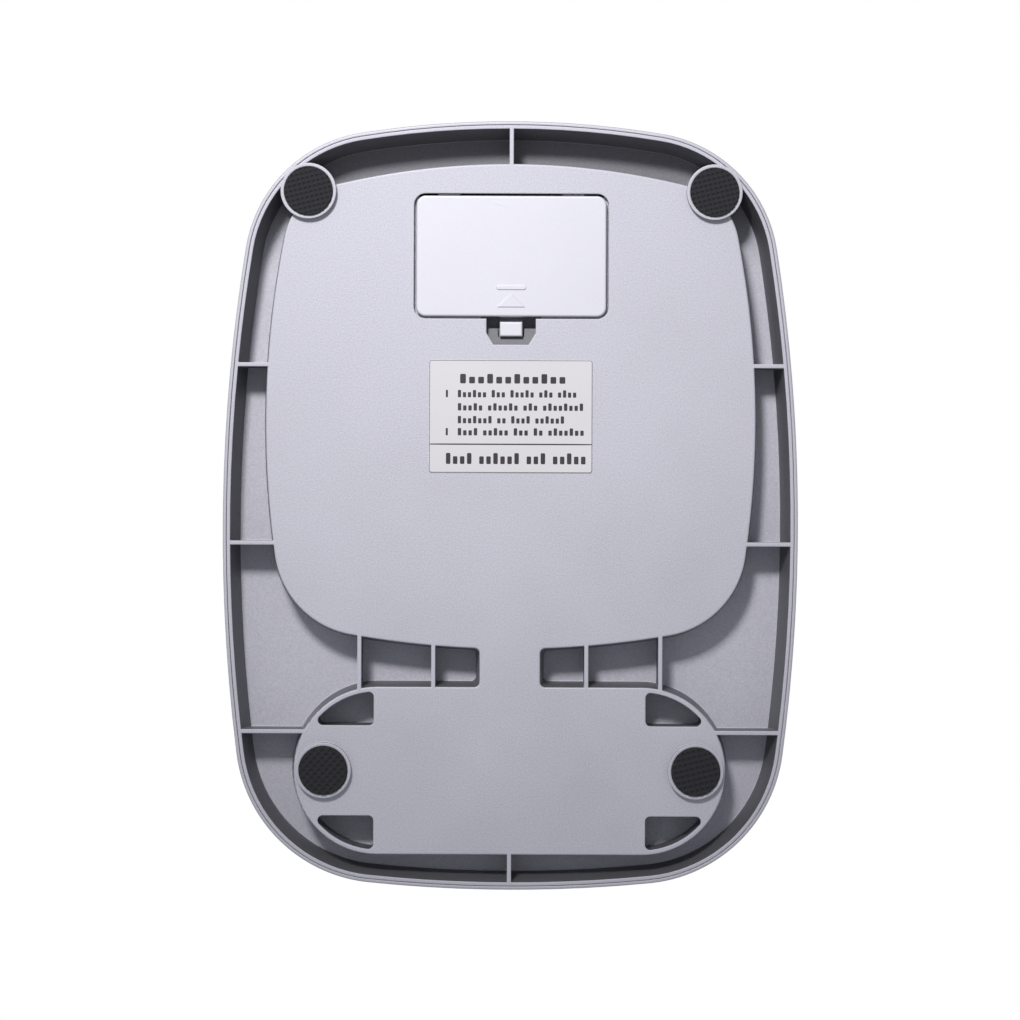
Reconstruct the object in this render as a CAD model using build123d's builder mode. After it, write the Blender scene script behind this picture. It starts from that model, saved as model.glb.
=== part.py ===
"""Compact table-top digital scale, resting on its four feet.

Sizes are in millimetres. +Z is up and z = 0 is the table under the feet. +X is the user's right,
-Y is the display end, and +Y is the end with the battery door. The origin is under the centre of
the body.
"""
import os
from math import radians, tan

from build123d import *

os.makedirs("parts", exist_ok=True)

# ---------------------------------------------------------------- driving dimensions
# Body outline: four bowed sides with rounded corners.
LENGTH = 210.0
WIDTH = 157.2
WIDEST_Y = -6.0
REAR_END_R = 257.0
FRONT_END_R = 388.0
SIDE_R = 484.0
REAR_CORNER_R = 37.8
FRONT_CORNER_R = 40.4

# Heights above the table.
RING_Z = 0.8              # bottom of the rings that hold the foot pads
RING_HEIGHT = 1.7         # rings stand this far below the underside
MOAT_DEPTH = 12.0         # from the underside up to the floor around the plateaus
COVER_TOP_GAP = 6.7       # from the deck up to the inside of the cover's top
COVER_TOP_WALL = 2.0
SUPPORT_GAP = 1.2         # free height between the cover and the weighing platform
PLATFORM_HEIGHT = 4.8

# Walls, drafts and clearances.
SKIN = 1.8                # base wall
RIM_WALL = 0.95           # bottom edge of the base rim
COVER_WALL = 0.95         # bottom edge of the cover skirt
PARTING_GAP = 0.15
SKIRT_DRAFT = 4.0         # degrees
RIM_DRAFT = 9.0
PLATEAU_DRAFT = 5.0
COVER_EDGE_R = 6.0
RUNNING_GAP = 0.3
SEAT_GAP = 0.1
EDGE_R = 0.4              # broken edges of the plateaus

# Shield-shaped plateau under the platform.
SHIELD_REAR_Y = 93.3
SHIELD_FRONT_Y = -39.2
SHIELD_WIDTH = 133.8
SHIELD_WIDEST_Y = 23.0
SHIELD_REAR_R = 202.0
SHIELD_FRONT_R = 253.0
SHIELD_SIDE_R = 261.0
SHIELD_REAR_CORNER_R = 17.7
SHIELD_FRONT_CORNER_R = 25.2

# Stadium-shaped plateau under the display, and the neck that joins it to the shield.
STADIUM_Y = -72.5
STADIUM_LENGTH = 118.0
STADIUM_WIDTH = 45.8
NECK_WIDTH = 16.6
NECK_CORNER_R = 1.4
POCKET_INNER_X = 37.1
POCKET_EDGE_Y = 12.3      # pockets start this far from the stadium's long axis
POCKET_WALL = 1.3
POCKET_CORNER_R = 1.4

# Stiffening ribs in the moat.
RIB = 1.1
SIDE_RIB_YS = (38.3, -10.4, -61.9)
NECK_RIB_XS = (20.9, 41.1)

# Feet and the cover screws behind them.
REAR_FOOT = (55.4, 85.6)
FRONT_FOOT = (50.8, -72.4)
PAD_D = 13.2
PAD_THICKNESS = 2.0
RING_WALL = 0.9
FOOT_BOSS_D = 10.0
COVER_BOSS_D = 8.0
SCREW_D = 2.9
SCREW_HEAD_D = 5.6
SCREW_HEAD = 2.0
SCREW_BITE = 5.0          # length of thread in the cover boss
SCREW_WELL_FLOOR = 4.0    # plastic left between the screw head and the deck
RECESS_LENGTH = 0.6       # cross recess in a screw head, as shares of the head's diameter
RECESS_WIDTH = 0.14

# Battery compartment: three AAA cells lying across the scale, side by side along Y.
CELL_D = 10.5
CELL_LENGTH = 44.5
CELL_TIP_D = 3.8
CELL_TIP = 1.0
CELL_GAP = 0.2            # between neighbouring cells
CELL_COUNT = 3
DOOR_GAP = 0.6
DOOR_THICKNESS = 1.8
DOOR_PROUD = 0.2
DOOR_EDGE_R = 0.5
MARK_HEIGHT = 0.2         # raised arrow and bar on the door
ARROW_WIDTH = 7.4
ARROW_LENGTH = 3.6
ARROW_INSET = 2.6         # from the door's front edge
BAR_MARK = (8.0, 1.1)
BAR_MARK_INSET = 7.9
DOOR_CORNER_R = 2.6
DOOR_LEDGE = 1.4
CELL_REAR_GAP = 0.35
CELL_FRONT_GAP = 0.55
CONTACT_THICKNESS = 0.4
SPRING_LENGTH = 4.4       # installed length
OPENING_REAR_Y = 85.2
COMPARTMENT_ROOF = 1.4
CELL_LIFT = 0.7           # between the closed door and the cells
COMPARTMENT_WALL = 1.5
CONTACT_WIDTH = 8.0
CONTACT_BUMP_D = 3.0
CONTACT_BUMP = 0.7
CONTACT_BUMP_TAPER = 30.0  # degrees
CONTACT_TAIL = 2.0        # width of the solder tails
SPRING_D = 5.6
SPRING_WIRE_D = 0.5
SPRING_TURNS = 3.0
SPRING_TAPER = 12.0       # degrees
HINGE_TAB_X = 17.0
HINGE_TAB_WIDTH = 6.0
HINGE_TAB_THICKNESS = 1.0
HINGE_TAB_REACH = 2.0     # past the door's rear edge
HINGE_TAB_GAP = 0.25
HINGE_POCKET = 4.2        # height of the tab pockets behind the opening
HINGE_POCKET_SPARE = 1.0  # room behind the tabs as they swing down

# Latch on the door's front edge and the finger scoop in front of it.
LATCH_WIDTH = 6.2
LATCH_THICKNESS = 0.8
LATCH_BEND_R = 1.1        # centreline radius of the U
LATCH_RISE = 8.0          # from the underside up to the centre of the U's bend
LATCH_TAB = 3.2
LATCH_TAB_THICKNESS = 1.2
LATCH_TAB_LIFT = 0.3      # the tab sits this far inside the underside
BARB_REACH = 0.4          # how far the barb hooks over the scoop's lip
BARB_HEIGHT = 0.8
BARB_GAP = 0.2
NOTCH_DEPTH = 0.6         # relief in the scoop's floor around the tab
NOTCH_GAP = 0.5
SCOOP_WIDTH = 13.5
SCOOP_NOSE_WIDTH = 9.6
SCOOP_REACH = 7.1         # from the opening's front edge to the scoop's nose
SCOOP_STRAIGHT = 3.9
SLOT_REACH = 2.5          # deep slot between the door and the lip
SCOOP_NOSE_DEPTH = 1.2
LIP_DEPTH = 2.9           # height of the lip above the underside
LIP_THICKNESS = 1.3

# Rating label.
LABEL_WIDTH = 44.6
LABEL_REAR_Y = 39.7
LABEL_FRONT_Y = 8.9
LABEL_THICKNESS = 0.15
LABEL_CORNER_R = 0.8

# Load cell, fixed by two screws under the label.
LOAD_BAR = (55.3, 12.7, 12.7)
LOAD_BAR_Y = 24.3
LOAD_BAR_END_X = -22.4
BAR_HOLE_INSET = 3.9
BAR_HOLE_PITCH = 10.0
BAR_SCREW_D = 3.9
BAR_SCREW_HEAD_D = 7.0
BAR_SCREW_HEAD = 2.0
BAR_LIFT = 2.7            # clear height under the bar's free end
FLEXURE_HOLE_D = 9.6
FLEXURE_PITCH = 12.0
FLEXURE_SLOT = 3.2        # width of the slot that joins the two holes
COATING = (15.0, 10.0, 1.6)
BAR_THREAD = 10.0         # length of screw inside the bar

# Weighing platform.
PLATFORM_INSET = 4.2
PLATFORM_FRONT_Y = -42.0
PLATFORM_FRONT_R = 280.0
PLATFORM_FRONT_CORNER_R = 26.0
PLATFORM_WALL = 2.0
PLATFORM_EDGE_R = 2.2
SUPPORT_ARM = 10.0
SUPPORT_ARM_THICKNESS = 2.0
PEG_D = 5.0
PEG_X = 44.0
PEG_YS = (-4.0, 62.0)
PEG_GAP = 0.1
SOCKET_D = 11.0
SUPPORT_BOSS = (18.8, 12.7)
SUPPORT_SEAT = 4.3        # height of the boss under the screw heads
SUPPORT_OPENING_GAP = 2.0

# Display and controls.
PCB_SIZE = (88.0, 36.0, 1.2)
PCB_CORNER_R = 2.0
PCB_CLEARANCE = 0.6       # above the deck
PCB_SCREW_XY = (32.5, 15.0)
PCB_POST_D = 6.0
PCB_SCREW_D = 2.0
PCB_SCREW_HEAD_D = 4.0
PCB_SCREW_HEAD = 1.4
PCB_SCREW_LENGTH = 4.6
ZEBRA = (50.0, 2.0)
CHIP = (10.0, 9.0, 1.6)
CHIP_XY = (-14.0, 4.0)
CHIP_CORNER_R = 3.0
CHIP_TAPER = 20.0         # degrees
CAPACITOR_D = 5.0
CAPACITOR_LENGTH = 9.0
CONNECTOR = (15.0, 5.0, 4.0)
CONNECTOR_INSET = 1.5     # from the board's rear edge
LCD_SIZE = (52.0, 22.0, 2.7)
LCD_FRAME_WALL = 2.4
LENS_SIZE = (62.0, 31.0, 1.4)
LENS_CORNER_R = 5.0
WINDOW_SIZE = (48.0, 17.0)
BUTTON_X = 38.0
BUTTON_D = 10.4
BUTTON_PROUD = 0.6
BUTTON_FLANGE = 1.4
BUTTON_TRAVEL = 0.5
BUTTON_FLANGE_D = 13.4
BUTTON_CORE_D = 4.0
BUTTON_EDGE_R = 0.5
SWITCH_SIZE = 6.2
SWITCH_HEIGHT = 2.0
SWITCH_BORE = 1.4
SWITCH_PLUNGER_D = 3.4
SWITCH_PLUNGER_PROUD = 1.0

# Internal wires, which clips and the neck hold all the way.
CELL_LEAD_D = 2.2
WIRE_D = 1.3
BEND_SHARE = 0.45         # of the shorter run beside a bend that its arc takes up
CELL_LEAD_ROUTE = [(5.2, 19.25, 20.85), (5.0, 6.0, 20.85), (4.2, -10.0, 14.5), (2.5, -27.0, 9.5),
                   (0.8, -42.0, 12.6), (0.0, -55.75, 14.9)]
LEAD_START = (0.2, 1.0)   # from a solder tail, outwards and forwards
LEAD_LIFT = 1.1           # a battery lead's middle above the compartment's roof
POSITIVE_ROUTE = [(-28.5, 29.0, 13.0), (-27.0, 10.0, 7.5), (-18.0, -8.0, 6.3), (-8.6, -24.0, 6.6),
                  (-5.2, -39.0, 9.6), (-5.0, -55.75, 14.6)]
NEGATIVE_ROUTE = [(34.0, 47.0, 15.0), (40.5, 29.0, 9.0), (36.0, 9.0, 6.4), (23.0, -9.0, 6.2),
                  (10.5, -25.0, 6.8), (5.3, -40.0, 9.8), (5.0, -55.75, 14.6)]

# ---------------------------------------------------------------- places worked out
UNDERSIDE = RING_Z + RING_HEIGHT
FLOOR = UNDERSIDE + MOAT_DEPTH
DECK = FLOOR + SKIN
SKIN_TOP = UNDERSIDE + SKIN
COVER_INSIDE = DECK + COVER_TOP_GAP
COVER_TOP = COVER_INSIDE + COVER_TOP_WALL
SUPPORT_Z = COVER_TOP + SUPPORT_GAP
PLATFORM_TOP = SUPPORT_Z + PLATFORM_HEIGHT
PLATFORM_INSIDE = PLATFORM_TOP - PLATFORM_WALL

FEET = [(x * side, y) for x, y in (REAR_FOOT, FRONT_FOOT) for side in (-1, 1)]
SCREW_SEAT = DECK - SCREW_WELL_FLOOR

# Battery compartment, from the rear edge of its opening forwards.
CELL_PITCH = CELL_D + CELL_GAP
CELL_YS = [OPENING_REAR_Y - CELL_REAR_GAP - CELL_D / 2 - CELL_PITCH * i for i in range(CELL_COUNT)]
CAVITY_FRONT = CELL_YS[-1] - CELL_D / 2 - CELL_FRONT_GAP
CAVITY_HALF = (CELL_LENGTH + CONTACT_BUMP + SPRING_LENGTH) / 2 + CONTACT_THICKNESS
OPENING_FRONT = CAVITY_FRONT - DOOR_LEDGE
OPENING_HALF = CAVITY_HALF + DOOR_LEDGE
DOOR_Z = UNDERSIDE - DOOR_PROUD
DOOR_TOP = DOOR_Z + DOOR_THICKNESS
DOOR_HALF = OPENING_HALF - DOOR_GAP
DOOR_FRONT = OPENING_FRONT + DOOR_GAP
DOOR_REAR = OPENING_REAR_Y - DOOR_GAP
HINGE_Y = DOOR_REAR - DOOR_THICKNESS / 2
CELL_Z = DOOR_TOP + CELL_LIFT + CELL_D / 2
CAVITY_ROOF = CELL_Z + CELL_D / 2 + SEAT_GAP
HINGE_POCKET_DEPTH = HINGE_TAB_REACH - DOOR_GAP + RUNNING_GAP + HINGE_POCKET_SPARE
COMPARTMENT_REAR = OPENING_REAR_Y + HINGE_POCKET_DEPTH + COMPARTMENT_WALL
TAILS = [(-CAVITY_HALF + CONTACT_THICKNESS, CELL_YS[-1]), (CAVITY_HALF - CONTACT_THICKNESS, CELL_YS[0])]
LEAD_Z = CAVITY_ROOF + COMPARTMENT_ROOF + LEAD_LIFT
OUT, FORWARD = LEAD_START
POSITIVE_START = [(TAILS[0][0] - OUT, TAILS[0][1] - FORWARD, LEAD_Z), (-25.3, 44.0, LEAD_Z)]
NEGATIVE_START = [(TAILS[1][0] + OUT, TAILS[1][1] - FORWARD, LEAD_Z), (26.5, 64.0, LEAD_Z)]

# Latch and finger scoop.
LIP_Y = OPENING_FRONT - SLOT_REACH
SCOOP_NOSE_Y = OPENING_FRONT - SCOOP_REACH
SCOOP_BEND_Y = OPENING_FRONT - SCOOP_STRAIGHT
LIP_TOP = UNDERSIDE + LIP_DEPTH + LIP_THICKNESS
LATCH_BEND_Z = UNDERSIDE + LATCH_RISE
LATCH_REAR_Y = DOOR_FRONT + LATCH_THICKNESS / 2
LATCH_FRONT_Y = LATCH_REAR_Y - 2 * LATCH_BEND_R
TAB_FRONT = LATCH_FRONT_Y - LATCH_THICKNESS / 2 - LATCH_TAB
BARB_FRONT = LIP_Y - BARB_REACH
BARB_SPACE_Y = BARB_FRONT - RUNNING_GAP
LATCH_ROOF = LATCH_BEND_Z + LATCH_BEND_R + LATCH_THICKNESS

HINGE_TAB_Z = SKIN_TOP + HINGE_TAB_GAP
TAB_ROOT_Y = HINGE_Y - RUNNING_GAP
CELL_TIP_X = CAVITY_HALF - CONTACT_THICKNESS - CONTACT_BUMP
CELL_SIDES = (-1, 1, -1)  # the side that each cell's positive tip points to

# Load cell.
BAR_Z = SKIN_TOP + BAR_LIFT
BAR_TOP = BAR_Z + LOAD_BAR[2]
BAR_SEAT = UNDERSIDE + BAR_SCREW_HEAD + SEAT_GAP + RUNNING_GAP
BAR_X = LOAD_BAR_END_X + LOAD_BAR[0] / 2
FIXED_HOLES = [LOAD_BAR_END_X + BAR_HOLE_INSET, LOAD_BAR_END_X + BAR_HOLE_INSET + BAR_HOLE_PITCH]
FREE_HOLES = [2 * BAR_X - x for x in FIXED_HOLES]
PEDESTAL_LENGTH = BAR_HOLE_PITCH + 2 * BAR_HOLE_INSET
PEGS = [(x, y) for x in (-PEG_X, PEG_X) for y in PEG_YS]

# Display and controls.
PCB_Z = DECK + PCB_CLEARANCE
PCB_TOP = PCB_Z + PCB_SIZE[2]
PCB_POSTS = [(sx * PCB_SCREW_XY[0], STADIUM_Y + sy * PCB_SCREW_XY[1])
             for sx in (-1, 1) for sy in (-1, 1)]
LCD_Z = COVER_INSIDE - SEAT_GAP - LCD_SIZE[2]
BUTTONS = {"power": (-BUTTON_X, STADIUM_Y), "unit": (BUTTON_X, STADIUM_Y)}
BUTTON_CORE_Z = PCB_TOP + SWITCH_HEIGHT + SWITCH_PLUNGER_PROUD
FLANGE_Z = COVER_INSIDE - SEAT_GAP - BUTTON_FLANGE


def write(piece, name):
    """Label a finished piece and write it as its own node."""
    piece.label = name
    export_step(piece, f"parts/{name}.step")


def bowed_shape(rear_y, front_y, half_width, widest_y, end_radii, side_r, corner_radii, inset=0.0):
    """Four bowed sides with rounded corners, moved inwards by inset."""
    rear_r, front_r = end_radii
    rear_corner, front_corner = corner_radii
    with BuildSketch(mode=Mode.PRIVATE) as shape:
        with Locations((0, rear_y - rear_r)):
            Circle(rear_r - inset)
        with Locations((0, front_y + front_r)):
            Circle(front_r - inset, mode=Mode.INTERSECT)
        for side in (-1, 1):
            with Locations((side * (half_width - side_r), widest_y)):
                Circle(side_r - inset, mode=Mode.INTERSECT)
        corners = shape.vertices().sort_by(Axis.Y)
        fillet(corners[2:], rear_corner - inset)
        corners = shape.vertices().sort_by(Axis.Y)
        fillet(corners[:2], front_corner - inset)
    return shape.sketch_local


def body_shape(inset=0.0):
    """The outline of the whole body."""
    return bowed_shape(LENGTH / 2, -LENGTH / 2, WIDTH / 2, WIDEST_Y, (REAR_END_R, FRONT_END_R),
                       SIDE_R, (REAR_CORNER_R, FRONT_CORNER_R), inset)


def shield_shape(inset=0.0):
    """The plateau under the platform."""
    return bowed_shape(SHIELD_REAR_Y, SHIELD_FRONT_Y, SHIELD_WIDTH / 2, SHIELD_WIDEST_Y,
                       (SHIELD_REAR_R, SHIELD_FRONT_R), SHIELD_SIDE_R,
                       (SHIELD_REAR_CORNER_R, SHIELD_FRONT_CORNER_R), inset)


def platform_shape(inset=0.0):
    """The weighing platform's outline, which follows the body's sides and rear end."""
    edge = PLATFORM_INSET
    return bowed_shape(LENGTH / 2 - edge, PLATFORM_FRONT_Y, WIDTH / 2 - edge, WIDEST_Y,
                       (REAR_END_R - edge, PLATFORM_FRONT_R), SIDE_R - edge,
                       (REAR_CORNER_R - edge, PLATFORM_FRONT_CORNER_R), inset)


def drafted(shape_at, inset, draft, low, height):
    """Loft a shape upwards; a positive draft makes it shrink as it rises."""
    with BuildPart(mode=Mode.PRIVATE) as body:
        with BuildSketch(Plane.XY.offset(low)):
            add(shape_at(inset))
        with BuildSketch(Plane.XY.offset(low + height)):
            add(shape_at(inset + height * tan(radians(draft))))
        loft(ruled=True)
    return body.part


def plateaus(inset, low, height):
    """Shield, stadium and the neck between them, widening upwards."""
    with BuildPart(mode=Mode.PRIVATE) as body:
        add(drafted(shield_shape, inset, -PLATEAU_DRAFT, low, height))
        with BuildSketch(Plane.XY.offset(low)):
            with Locations((0, STADIUM_Y)):
                SlotOverall(STADIUM_LENGTH - 2 * inset, STADIUM_WIDTH - 2 * inset)
        extrude(amount=height, taper=-PLATEAU_DRAFT)
        with BuildSketch(Plane.XY.offset(low)):
            with Locations((0, STADIUM_Y)):
                Rectangle(NECK_WIDTH - 2 * inset, SHIELD_WIDEST_Y - STADIUM_Y,
                          align=(Align.CENTER, Align.MIN))
        extrude(amount=height, taper=-PLATEAU_DRAFT)
    return body.part


def pocket_shape(margin=0.0, corner_r=0.0):
    """The four pockets in the stadium's round ends, grown by margin."""
    with BuildSketch(mode=Mode.PRIVATE) as shape:
        with Locations((0, STADIUM_Y)):
            SlotOverall(STADIUM_LENGTH - 2 * (POCKET_WALL - margin),
                        STADIUM_WIDTH - 2 * (POCKET_WALL - margin))
            Rectangle(2 * (POCKET_INNER_X - margin), STADIUM_WIDTH, mode=Mode.SUBTRACT)
            Rectangle(STADIUM_LENGTH, 2 * (POCKET_EDGE_Y - margin), mode=Mode.SUBTRACT)
        if corner_r:
            fillet(shape.vertices(), corner_r)
    return shape.sketch_local


pockets = pocket_shape(corner_r=POCKET_CORNER_R)
pocket_walls = pocket_shape(POCKET_WALL)


# ---------------------------------------------------------------- base housing
plateau_blank = plateaus(0, UNDERSIDE, MOAT_DEPTH)
with BuildPart() as plateau_mass:
    # The plateaus as they stand in the moat, with rounded neck corners and lower edges.
    add(plateau_blank)
    neck_corners = [e for e in plateau_mass.edges()
                    if abs(abs(e.center().X) - NECK_WIDTH / 2) < NECK_CORNER_R
                    and abs(e.length - MOAT_DEPTH) < NECK_CORNER_R]
    fillet(neck_corners, NECK_CORNER_R)
    fillet(plateau_mass.edges().group_by(Axis.Z)[0], EDGE_R)

moat_blank = drafted(body_shape, COVER_WALL + PARTING_GAP + RIM_WALL, RIM_DRAFT, UNDERSIDE, MOAT_DEPTH)
with BuildPart() as moat:
    # The space around the plateaus, open downwards, less the ribs that cross it.
    add(moat_blank)
    add(plateau_mass.part, mode=Mode.SUBTRACT)
    with BuildSketch(Plane.XY.offset(UNDERSIDE)):
        Rectangle(RIB, LENGTH)
        for y in SIDE_RIB_YS:
            with Locations((0, y)):
                Rectangle(WIDTH, RIB)
        with Locations(*[(x * side, STADIUM_Y) for x in NECK_RIB_XS for side in (-1, 1)]):
            Rectangle(RIB, SHIELD_WIDEST_Y - STADIUM_Y, align=(Align.CENTER, Align.MIN))
    extrude(amount=MOAT_DEPTH, mode=Mode.SUBTRACT)

with BuildPart() as scoop:
    # Finger scoop: its outline from below, cut to a sloping floor.
    with BuildSketch(Plane.XY.offset(UNDERSIDE)):
        with BuildLine():
            Polyline((-SCOOP_WIDTH / 2, LIP_Y), (-SCOOP_WIDTH / 2, SCOOP_BEND_Y),
                     (-SCOOP_NOSE_WIDTH / 2, SCOOP_NOSE_Y), (SCOOP_NOSE_WIDTH / 2, SCOOP_NOSE_Y),
                     (SCOOP_WIDTH / 2, SCOOP_BEND_Y), (SCOOP_WIDTH / 2, LIP_Y), close=True)
        make_face()
    extrude(amount=LIP_DEPTH)
    with BuildSketch(Plane.YZ):
        with BuildLine():
            Polyline((SCOOP_NOSE_Y, UNDERSIDE), (SCOOP_NOSE_Y, UNDERSIDE + SCOOP_NOSE_DEPTH),
                     (LIP_Y, UNDERSIDE + LIP_DEPTH), (LIP_Y, UNDERSIDE), close=True)
        make_face()
    extrude(amount=SCOOP_WIDTH, both=True, mode=Mode.INTERSECT)

rim_blank = drafted(body_shape, COVER_WALL + PARTING_GAP, SKIRT_DRAFT, UNDERSIDE, DECK - UNDERSIDE)
tub = plateaus(SKIN - SKIN * tan(radians(PLATEAU_DRAFT)), SKIN_TOP, DECK - SKIN_TOP)
with BuildPart() as foot_columns:
    # Bosses behind the front feet and full cups at the rear, kept inside the rim.
    with BuildSketch(Plane.XY.offset(UNDERSIDE)):
        with Locations(*FEET):
            Circle(FOOT_BOSS_D / 2)
        with Locations(*FEET[:2]):
            Circle(PAD_D / 2 + SEAT_GAP + RING_WALL)
    extrude(amount=DECK - UNDERSIDE)
    add(rim_blank, mode=Mode.INTERSECT)

with BuildPart() as base_housing:
    add(rim_blank)
    add(moat.part, mode=Mode.SUBTRACT)
    add(tub, mode=Mode.SUBTRACT)
    # Pockets in the stadium's ends.
    with BuildSketch(Plane.XY.offset(SKIN_TOP)):
        add(pocket_walls)
    extrude(amount=DECK - SKIN_TOP)
    with BuildSketch(Plane.XY.offset(UNDERSIDE)):
        add(pockets)
    extrude(amount=MOAT_DEPTH, mode=Mode.SUBTRACT)
    # Feet: rings that stand below the underside, with the bosses for the cover screws.
    add(foot_columns.part)
    with BuildSketch(Plane.XY.offset(RING_Z)):
        with Locations(*FEET):
            Circle(PAD_D / 2 + SEAT_GAP + RING_WALL)
    extrude(amount=RING_HEIGHT)
    for radius, low, high in ((PAD_D / 2 + SEAT_GAP, RING_Z, PAD_THICKNESS),
                              (SCREW_HEAD_D / 2 + RUNNING_GAP, PAD_THICKNESS, SCREW_SEAT),
                              (SCREW_D / 2 + SEAT_GAP, SCREW_SEAT, DECK)):
        with BuildSketch(Plane.XY.offset(low)):
            with Locations(*FEET):
                Circle(radius)
        extrude(amount=high - low, mode=Mode.SUBTRACT)
    # Battery compartment: a box on the skin, its cavity, and the door's opening.
    with BuildSketch(Plane.XY.offset(SKIN_TOP)):
        with Locations((0, (CAVITY_FRONT - COMPARTMENT_WALL + COMPARTMENT_REAR) / 2)):
            Rectangle(2 * (CAVITY_HALF + COMPARTMENT_WALL),
                      COMPARTMENT_REAR - CAVITY_FRONT + COMPARTMENT_WALL)
    extrude(amount=CAVITY_ROOF + COMPARTMENT_ROOF - SKIN_TOP)
    with BuildSketch(Plane.XY.offset(SKIN_TOP)):
        with Locations((0, (SCOOP_NOSE_Y - COMPARTMENT_WALL + CAVITY_FRONT) / 2)):
            Rectangle(SCOOP_WIDTH + 2 * COMPARTMENT_WALL,
                      CAVITY_FRONT - SCOOP_NOSE_Y + COMPARTMENT_WALL)
    extrude(amount=LATCH_ROOF + COMPARTMENT_ROOF - SKIN_TOP)
    with BuildSketch(Plane.XY.offset(SKIN_TOP)):
        with Locations((0, (CAVITY_FRONT + OPENING_REAR_Y) / 2)):
            Rectangle(2 * CAVITY_HALF, OPENING_REAR_Y - CAVITY_FRONT)
    extrude(amount=CAVITY_ROOF - SKIN_TOP, mode=Mode.SUBTRACT)
    with BuildSketch(Plane.XY.offset(UNDERSIDE)):
        with Locations((0, (OPENING_FRONT + OPENING_REAR_Y) / 2)):
            RectangleRounded(2 * OPENING_HALF, OPENING_REAR_Y - OPENING_FRONT,
                             DOOR_CORNER_R + DOOR_GAP)
    extrude(amount=SKIN, mode=Mode.SUBTRACT)
    with BuildSketch(Plane.XY.offset(SKIN_TOP)):
        with Locations(*[(side * HINGE_TAB_X, OPENING_REAR_Y) for side in (-1, 1)]):
            Rectangle(HINGE_TAB_WIDTH + 2 * RUNNING_GAP, 2 * HINGE_POCKET_DEPTH)
    extrude(amount=HINGE_POCKET, mode=Mode.SUBTRACT)
    # Slots in the roof for the solder tails.
    with BuildSketch(Plane.XY.offset(CAVITY_ROOF)):
        with Locations(*TAILS):
            Rectangle(2 * CONTACT_THICKNESS + 2 * SEAT_GAP, CONTACT_TAIL + 2 * RUNNING_GAP)
    extrude(amount=COMPARTMENT_ROOF, mode=Mode.SUBTRACT)
    # Latch: the deep slot beside the door, the space over the lip, and the finger scoop.
    with BuildSketch(Plane.XY.offset(UNDERSIDE)):
        with Locations((0, (LIP_Y + CAVITY_FRONT) / 2)):
            Rectangle(SCOOP_WIDTH, CAVITY_FRONT - LIP_Y)
    extrude(amount=LATCH_ROOF - UNDERSIDE, mode=Mode.SUBTRACT)
    with BuildSketch(Plane.XY.offset(LIP_TOP)):
        with Locations((0, (BARB_SPACE_Y + CAVITY_FRONT) / 2)):
            Rectangle(SCOOP_WIDTH, CAVITY_FRONT - BARB_SPACE_Y)
    extrude(amount=LATCH_ROOF - LIP_TOP, mode=Mode.SUBTRACT)
    add(scoop.part, mode=Mode.SUBTRACT)
    with BuildSketch(Plane.XY.offset(UNDERSIDE)):
        with Locations((0, (TAB_FRONT + LIP_Y) / 2)):
            Rectangle(LATCH_WIDTH + 2 * NOTCH_GAP, LIP_Y - TAB_FRONT)
    extrude(amount=LIP_DEPTH + NOTCH_DEPTH, mode=Mode.SUBTRACT)
    # Pedestal for the load cell's fixed end, with screw heads sunk into the underside.
    with BuildSketch(Plane.XY.offset(SKIN_TOP)):
        with Locations((sum(FIXED_HOLES) / 2, LOAD_BAR_Y)):
            Rectangle(PEDESTAL_LENGTH, LOAD_BAR[1])
    extrude(amount=BAR_LIFT)
    for radius, low, high in ((BAR_SCREW_HEAD_D / 2 + RUNNING_GAP, UNDERSIDE, BAR_SEAT),
                              (BAR_SCREW_D / 2 + RUNNING_GAP, BAR_SEAT, BAR_Z)):
        with BuildSketch(Plane.XY.offset(low)):
            with Locations(*[(x, LOAD_BAR_Y) for x in FIXED_HOLES]):
                Circle(radius)
        extrude(amount=high - low, mode=Mode.SUBTRACT)
write(base_housing.part, "base_housing")


# ---------------------------------------------------------------- top cover
cover_blank = drafted(body_shape, 0, SKIRT_DRAFT, UNDERSIDE, COVER_TOP - UNDERSIDE)
cover_void = drafted(body_shape, COVER_WALL, SKIRT_DRAFT, UNDERSIDE, COVER_INSIDE - UNDERSIDE)
with BuildPart() as cover_core:
    add(cover_void)
    fillet(cover_core.edges().group_by(Axis.Z)[-1], COVER_EDGE_R - COVER_TOP_WALL)

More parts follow.
